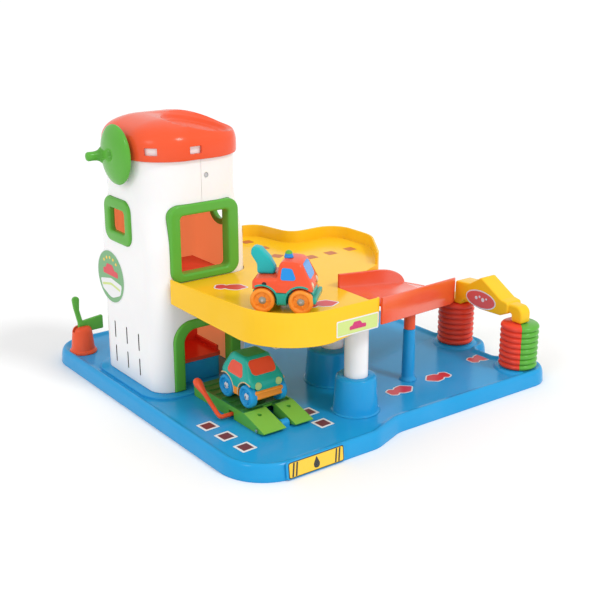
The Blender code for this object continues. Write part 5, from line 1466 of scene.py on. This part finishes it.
def build_truck():
    """Breakdown truck with a towing horn behind its cab."""
    name = "tow_truck"
    place = vehicle_place(name)
    build_chassis(name, place, plastic("teal"), "teal_plastic", 24 * MM, 4 * MM)
    vehicle_wheels(name, place, plastic("amber"), moulded("grey_hub", (0.3, 0.32, 0.26), 0.3))
    profile = [
        (-36, 12, 5), (36, 12, 5), (36.5, 31, 8), (23, 57, 11), (-3, 58.5, 7), (-6, 40, 3),
        (-36, 38, 5),
    ]
    outline = scaled(fillet(profile, 8))
    body = plate("truck_body", [outline], VEHICLE_WIDTH, 3.6 * MM, (0, VEHICLE_HALF, 0), UPRIGHT, 5)
    cut(body, block("below", mm(-50, -50, 0), mm(50, 50, 24.3)))
    bow_nose(body, NOSE, 4 * MM)
    lean_in(body, 34 * MM, 58 * MM, 0.2)
    corners = [(-1, 38.5, 2.5), (17, 38.5, 2.5), (11.5, 51, 3), (0, 52, 3)]
    glazing = side_glass("truck_glass", body, corners, 5)
    lean = spun(-math.atan2(13, 24), "Y")
    across = shifted(*mm(24.5, 0, 45)) @ lean @ spun(QUARTER, "Y") @ spun(QUARTER, "Z")
    across = across @ shifted(0, 0, -6 * MM)
    front_glass = window("truck_screen", body, pad(14.5, 9.5, 4.5, 6), 14 * MM, across)
    behind = shifted(*mm(-9, 0, 50)) @ spun(QUARTER, "Y") @ spun(QUARTER, "Z")
    back_glass = window("truck_back_glass", body, pad(10, 4.5, 2, 5), 8 * MM, behind)
    # Painted shade: a black skin on the body where the bed hole shows dark.
    hole = cylinder("hole", 2.6 * MM, mm(-19, -60, 33), mm(-19, 60, 33), sides=28)
    spot = inlay("truck_bed_hole", body, hole)
    lamp = lamp_pair("truck_lamps", body, 4, 22, 14, 30.5, 0.6 * MM)
    cut(body, *wheel_tools())
    finish(
        body, moulded("truck_orange", (0.88, 0.085, 0.02), 0.2), name, "orange_plastic",
        "tow_truck_body", place=place,
    )
    coloured(glazing, "sky", name, "tow_truck_windows", place=place)
    coloured(front_glass, "sky", name, place=place)
    coloured(back_glass, "sky", name, place=place)
    finish(spot, black(), name, "sky_plastic", place=place)
    finish(lamp, moulded("lamp_cream", (0.75, 0.6, 0.35), 0.15), name, "amber_plastic", place=place)
    arch_trim("truck_arches", name, place, plastic("teal"), "teal_plastic", 19 * MM)
    horn = plate(
        "towing_horn",
        [scaled(fillet(
            [
                (-31, 39.3, 3), (-10, 39.3, 4), (-11, 47, 6), (-17, 58, 8), (-27, 68.5, 4),
                (-37, 70.5, 4.5), (-38, 61, 6), (-31, 50, 8),
            ],
            7,
        ))],
        14 * MM, 2.6 * MM, mm(0, 7, 0), UPRIGHT, 5,
    )
    finish(
        horn, moulded("horn_teal", (0.0, 0.46, 0.46), 0.2), name, "teal_plastic", "tow_truck_boom",
        place=place,
    )
    beacon = turned(
        "cab_beacon",
        scaled([
            (0, 66.3), (1.8, 66), (3.4, 64.8), (4.3, 62.8), (4.5, 60.4), (5.2, 60), (5.3, 58.3),
            (0, 58.3),
        ]),
        32, mm(4, 0, 0),
    )
    coloured(beacon, "sky", name, "tow_truck_beacon", place=place)
    tinge(beacon, plastic("green"), lambda centre, normal: centre.z > 63.6 * MM)
    low_front = mm(32.6, 0, 15.5)
    bumper = bumper_bar("truck_bumper", pad(24, 3.6, 2.5, 6), 6 * MM, 1.6 * MM, low_front)
    coloured(bumper, "teal", name, place=place)


def build_hatchback():
    """Bubble-shaped hatchback with a painted roof and cream arch lines."""
    name = "hatchback"
    place = vehicle_place(name)
    build_chassis(name, place, plastic("amber"), "amber_plastic", 20 * MM, 6 * MM)
    vehicle_wheels(name, place, plastic("blue"), moulded("hub_white", (0.7, 0.7, 0.72), 0.3))
    profile = [
        (-36, 8, 6), (36, 8, 6), (37, 31, 9), (29, 39, 12), (13, 57, 13), (-23, 57.5, 16),
        (-36.5, 38, 15),
    ]
    outline = scaled(fillet(profile, 9))
    body = plate(
        "hatchback_shell", [outline], VEHICLE_WIDTH, 5 * MM, (0, VEHICLE_HALF, 0), UPRIGHT, 6
    )
    cut(body, block("below", mm(-50, -50, 0), mm(50, 50, 20.3)))
    bow_nose(body, NOSE, 6.5 * MM)
    lean_in(body, 32 * MM, 54 * MM, 0.24)
    corners = [(-18, 35, 4), (16, 34, 3.5), (8, 49, 5), (-14, 50, 6)]
    glazing = side_glass("hatchback_glass", body, corners, 6)
    lean = spun(-math.atan2(15, 14.5), "Y")
    across = shifted(*mm(20.5, 0, 47.6)) @ lean @ spun(QUARTER, "Y") @ spun(QUARTER, "Z")
    across = across @ shifted(0, 0, -8 * MM)
    front_glass = window("hatchback_screen", body, pad(17, 9.6, 5.5, 6), 16 * MM, across)
    behind = shifted(*mm(-36, 0, 45)) @ spun(QUARTER, "Y") @ spun(QUARTER, "Z")
    back_glass = window("hatchback_back_glass", body, pad(13, 6, 3.5, 6), 14 * MM, behind)
    roof_tool = plate(
        "roof_tool", [rectangle(-8 * MM, 0, 16.5 * MM, 14.5 * MM, 5 * MM, 6)], 20 * MM, 0,
        mm(0, 0, 52),
    )
    roof = inlay("hatchback_roof", body, roof_tool)
    lamp = lamp_pair("hatchback_lamps", body, 4.4, 20, 14.5, 28.5, 0.7 * MM)
    cut(body, *wheel_tools())
    orange_red = moulded("window_orange", (0.9, 0.07, 0.02), 0.15, coat=0.5)
    finish(
        body, moulded("hatch_teal", (0.0, 0.42, 0.33), 0.2), name, "teal_plastic", "hatchback_body",
        place=place,
    )
    finish(glazing, orange_red, name, "red_plastic", "hatchback_windows", place=place)
    finish(front_glass, orange_red, name, "red_plastic", place=place)
    finish(back_glass, orange_red, name, "red_plastic", place=place)
    finish(roof, moulded("roof_green", (0.02, 0.33, 0.08), 0.2), name, "green_plastic", place=place)
    finish(lamp, moulded("lamp_lime", (0.45, 0.62, 0.2), 0.15), name, "green_plastic", place=place)
    arch_trim("hatchback_arch_lines", name, place, cream(), "amber_plastic", 18.2 * MM)
    low_front = mm(30.6, 0, 17)
    bumper = bumper_bar("hatchback_bumper", pad(22, 5.4, 4.2, 6), 8 * MM, 2.6 * MM, low_front, 5)
    for v in bumper.data.vertices:
        v.co.x -= 5 * MM * (abs(v.co.y) / (22 * MM)) ** 2
    coloured(bumper, "amber", name, place=place)


def arrow_outline(grow=0.0):
    """A stubby double-finned arrow, about 38 mm long."""
    corners = [
        (-19, 0, 2), (-8, -10.5, 4), (2, -9, 4), (7, -5, 2), (12, -9, 3), (19, -5.5, 3),
        (19, 5.5, 3), (12, 9, 3), (7, 5, 2), (2, 9, 4), (-8, 10.5, 4),
    ]
    return scaled(inset(fillet(corners, 5), -grow))


def build_stickers():
    film_white = vinyl("film_white", (0.85, 0.85, 0.86))
    film_dark = vinyl("film_dark_red", (0.16, 0.012, 0.02))
    film_red = vinyl("film_red", (0.72, 0.012, 0.03))
    film_brown = vinyl("film_brown", (0.55, 0.11, 0.0))
    film_black = vinyl("film_black", (0.015, 0.012, 0.012))
    film_lime = vinyl("film_lime", (0.62, 0.75, 0.22))
    film_yellow = vinyl("film_yellow", (0.95, 0.6, 0.02))
    film_magenta = vinyl("film_magenta", (0.62, 0.0, 0.14))
    square = [pad(10, 10, 1, 3)], film_white
    core = [pad(7, 7, 0.6, 3)], film_dark
    squares = (
        (-215.5, -112.5), (-213.5, -147.5), (-211.5, -183.5), (0.5, 51), (-99, -151), (-104, -186)
    )
    for i, (x, y) in enumerate(squares):
        matrix = on_floor(x * MM, y * MM, BASE_FLOOR, math.radians(3))
        decal(f"bay_mark_{i + 1}", [square, core], matrix, "station")
    arrows = (
        (34, -168, 17, 180), (100, -165, 17, 0), (193, -151, 17, 180), (-146, -62, 160, 140),
        (-98, -176, 160, 160),
    )
    for i, (x, y, z, turn) in enumerate(arrows):
        matrix = on_floor(x * MM, y * MM, z * MM, math.radians(turn))
        layers = [([arrow_outline(1.8)], film_white), ([arrow_outline()], film_red)]
        decal(f"lane_arrow_{i + 1}", layers, matrix, "station")
    dashes = ((-17, 95, 0), (-17, 57, 0), (-25, 14, 30), (8, -17, 0), (40, -17, 0), (73, -17, 0))
    for i, (x, y, turn) in enumerate(dashes):
        matrix = on_floor(x * MM, y * MM, DECK_FLOOR, math.radians(turn))
        dash = [pad(7, 7, 0.8, 3)], film_brown
        decal(f"deck_mark_{i + 1}", [dash], matrix, "station")
    round_badge(film_white, film_lime, film_red, film_yellow)
    skirt = placed(-79.5 * MM, DECK_FRONT, 142.4 * MM) @ spun(QUARTER, "X")
    layers = [
        ([pad(30.5, 9.6, 1.5, 4)], film_white), ([pad(29, 8.1, 1, 4)], film_lime),
        ([scaled(car_outline(8.0))], film_magenta),
    ]
    decal("deck_skirt_label", layers, skirt, "station")
    front = placed(*SIGN) @ spun(SIGN_LEAN, "X") @ shifted(0, 0, 1.5 * MM)
    drop_shape = fillet(
        [(0, 7.4, 0.6), (-4.3, -1.5, 3.6), (-3.4, -6.4, 3.4), (3.4, -6.4, 3.4), (4.3, -1.5, 3.6)], 6
    )
    layers = [
        ([pad(38, 9.3, 2.5, 6)], film_black), ([pad(36.8, 8.2, 1.8, 6)], film_yellow),
        ([scaled(drop_shape)], film_black),
    ]
    decal("front_panel_label", layers, front, "station")
    bars = []
    for x in (-31.5, -27, 27, 31.5):
        bars.append(scaled([(x - 2.2, -7.8), (x, -7.8), (x + 2.2, 7.8), (x, 7.8)]))
    decal(
        "front_panel_bars", [(bars, film_black)], front @ shifted(0, 0, 0.15 * MM), "station",
    )
    side = placed(197 * MM, -142.6 * MM, 97 * MM) @ spun(-QUARTER, "Z") @ spun(QUARTER, "X")
    bubbles = [
        ellipse(x * MM, y * MM, r * MM, count=24)
        for x, y, r in ((-8, 1, 2.4), (-2, 3.5, 1.7), (4, 0.5, 2.8), (10, 3, 1.5))
    ]
    layers = [
        ([ellipse(0, 0, *mm(27, 12.6))], film_white),
        ([ellipse(0, 0, *mm(25.2, 10.9))], vinyl("film_rose", (0.75, 0.1, 0.09))),
        (bubbles, film_white),
    ]
    decal("wash_label", layers, side, "station")


def car_outline(height):
    """Side view of a small car, as a filled shape."""
    u = height / 10
    corners = [
        (-15, -4, 1.2), (15, -4, 1.2), (15, 1.5, 2), (8, 2.2, 1.5), (4, 7, 2), (-7, 7, 2),
        (-10, 2.2, 1.5), (-15, 1.5, 2),
    ]
    return [(x * u, y * u - u) for x, y in fillet(corners, 4)]


def round_badge(film_white, film_lime, film_red, film_yellow):
    """Oval badge on the tower's left wall: rings, a small car and a road."""
    matrix = placed(TOWER_LEFT, 101 * MM, 147 * MM) @ spun(-QUARTER, "Z") @ spun(QUARTER, "X")
    road = fillet(
        [(-29, -8, 3), (0, -2, 20), (29, -6, 3), (24, -20, 8), (0, -29, 20), (-24, -20, 8)], 7
    )
    stripe = fillet(
        [(-24, -13, 1), (0, -8, 20), (24, -12, 1), (23, -15, 1), (0, -11, 20), (-23, -16, 1)], 7
    )
    rays = []
    for k in range(5):
        angle = math.radians(50 + 20 * k)
        middle = Vector((math.cos(angle), math.sin(angle))) * 25
        rays.append(ellipse(middle.x * MM, middle.y * MM, 2 * MM, count=16))
    layers = [
        ([ellipse(0, 0, *mm(36, 35), 72)], film_white),
        ([ellipse(0, 0, *mm(34.6, 33.6), 72)], vinyl("film_leaf", (0.14, 0.4, 0.15))),
        ([scaled(road)], film_white), ([scaled(stripe)], film_lime),
        ([scaled([(x, y + 8) for x, y in car_outline(13)])], film_red), (rays, film_yellow),
    ]
    decal("tower_badge", layers, matrix, "station")


def build_stage():
    floor = block("studio_floor", (-4, -4, -0.02), (4, 4, 0))
    size = sizes().floor_size / 8
    floor.scale = (size, size, 1)
    paper = Finish("studio_paper", (0.93, 0.93, 0.93), 0.8)
    grain = paper.noise(paper.place(), 3.0)
    paper.feed("Base Color", paper.mix(grain, (0.925, 0.925, 0.925, 1), (0.94, 0.94, 0.94, 1)))
    floor.data.materials.append(paper.material)
    world = bpy.data.worlds.new("studio")
    bpy.context.scene.world = world
    world.use_nodes = True
    world.node_tree.nodes["Background"].inputs["Color"].default_value = (1, 1, 1, 1)
    world.node_tree.nodes["Background"].inputs["Strength"].default_value = 0.86
    sunlight("key", (0.5, -1.5, 1.9), 13, 1.0)
    sunlight("fill", (-1.9, -0.5, 1.5), 16, 0.35)
    camera = bpy.data.cameras.new("photo_view")
    camera.lens = 63.42
    camera.sensor_width = 36
    camera.clip_end = 100
    viewer = bpy.data.objects.new("photo_view", camera)
    bpy.context.scene.collection.objects.link(viewer)
    azimuth, elevation = math.radians(-36.88), math.radians(18.43)
    viewer.location = SHIFT + Vector((-0.80002, -1.06942, 0.543))
    viewer.rotation_euler = (QUARTER - elevation, 0, azimuth)
    bpy.context.scene.camera = viewer
    bpy.context.scene.view_settings.view_transform = "Standard"


def sunlight(name, location, angle, strength):
    """Even light from a broad disc, aimed at the toy from a location."""
    lamp = bpy.data.lights.new(name, "SUN")
    lamp.angle = math.radians(angle)
    lamp.energy = strength
    item = bpy.data.objects.new(name, lamp)
    bpy.context.scene.collection.objects.link(item)
    item.location = location
    aim = Vector((0, 0, 0.12)) - Vector(location)
    item.rotation_euler = aim.to_track_quat("-Z", "Y").to_euler()


def operator(word, label, text, build):
    """One operator class that runs a build function."""

    def execute(self, context):
        build()
        return {"FINISHED"}

    return type(
        f"STATION_OT_{word}", (bpy.types.Operator,),
        {"bl_idname": f"station.{word}", "bl_label": label, "__doc__": text, "execute": execute},
    )


OPERATORS = (
    operator("tray", "Tray", "Build the blue tray", build_tray),
    operator(
        "sockets", "Sockets", "Build the lift rest, column sockets and road post", build_sockets
    ),
    operator("tower", "Tower", "Build the tower shells and back panel", build_tower),
    operator("roof", "Roof", "Build the crowned roof cap", build_roof),
    operator("frames", "Frames", "Build the door and window frames", build_frames),
    operator("lift", "Lift", "Finish the lift and its mast", build_lift),
    operator("crank", "Crank", "Build the crank wheel and peg", build_crank),
    operator("deck", "Deck", "Build the upper deck and columns", build_deck),
    operator("road", "Road", "Build the exit road", build_road),
    operator("arch", "Wash arch", "Build the arch over the rollers", build_arch),
    operator("rollers", "Rollers", "Build the ribbed wash rollers", build_rollers),
    operator("barrier", "Barrier", "Build the barrier and its post", build_barrier),
    operator("ramp", "Ramp", "Build the service ramp and lever", build_ramp),
    operator("truck", "Tow truck", "Build the breakdown truck", build_truck),
    operator("hatchback", "Hatchback", "Build the hatchback", build_hatchback),
    operator("stickers", "Stickers", "Lay the printed films", build_stickers),
    operator("stage", "Stage", "Set the floor, lights and camera", build_stage),
)


class STATION_PT_panel(bpy.types.Panel):
    """Sizes, colours and build steps of the toy."""

    bl_idname = "STATION_PT_panel"
    bl_label = "Toy Service Station"
    bl_space_type = "VIEW_3D"
    bl_region_type = "UI"
    bl_category = "Station"

    def draw(self, context):
        for group in (context.scene.station_colours, context.scene.station_sizes):
            for name in group.__annotations__:
                self.layout.prop(group, name)
        for made in OPERATORS:
            self.layout.operator(made.bl_idname)


CLASSES = (StationColours, StationSizes, *OPERATORS, STATION_PT_panel)


def register():
    for made in CLASSES:
        bpy.utils.register_class(made)
    bpy.types.Scene.station_colours = PointerProperty(type=StationColours)
    bpy.types.Scene.station_sizes = PointerProperty(type=StationSizes)


def unregister():
    del bpy.types.Scene.station_colours
    del bpy.types.Scene.station_sizes
    for made in reversed(CLASSES):
        bpy.utils.unregister_class(made)


def main():
    register()
    for made in OPERATORS:
        group, word = made.bl_idname.split(".")
        getattr(getattr(bpy.ops, group), word)()


if __name__ == "__main__":
    main()
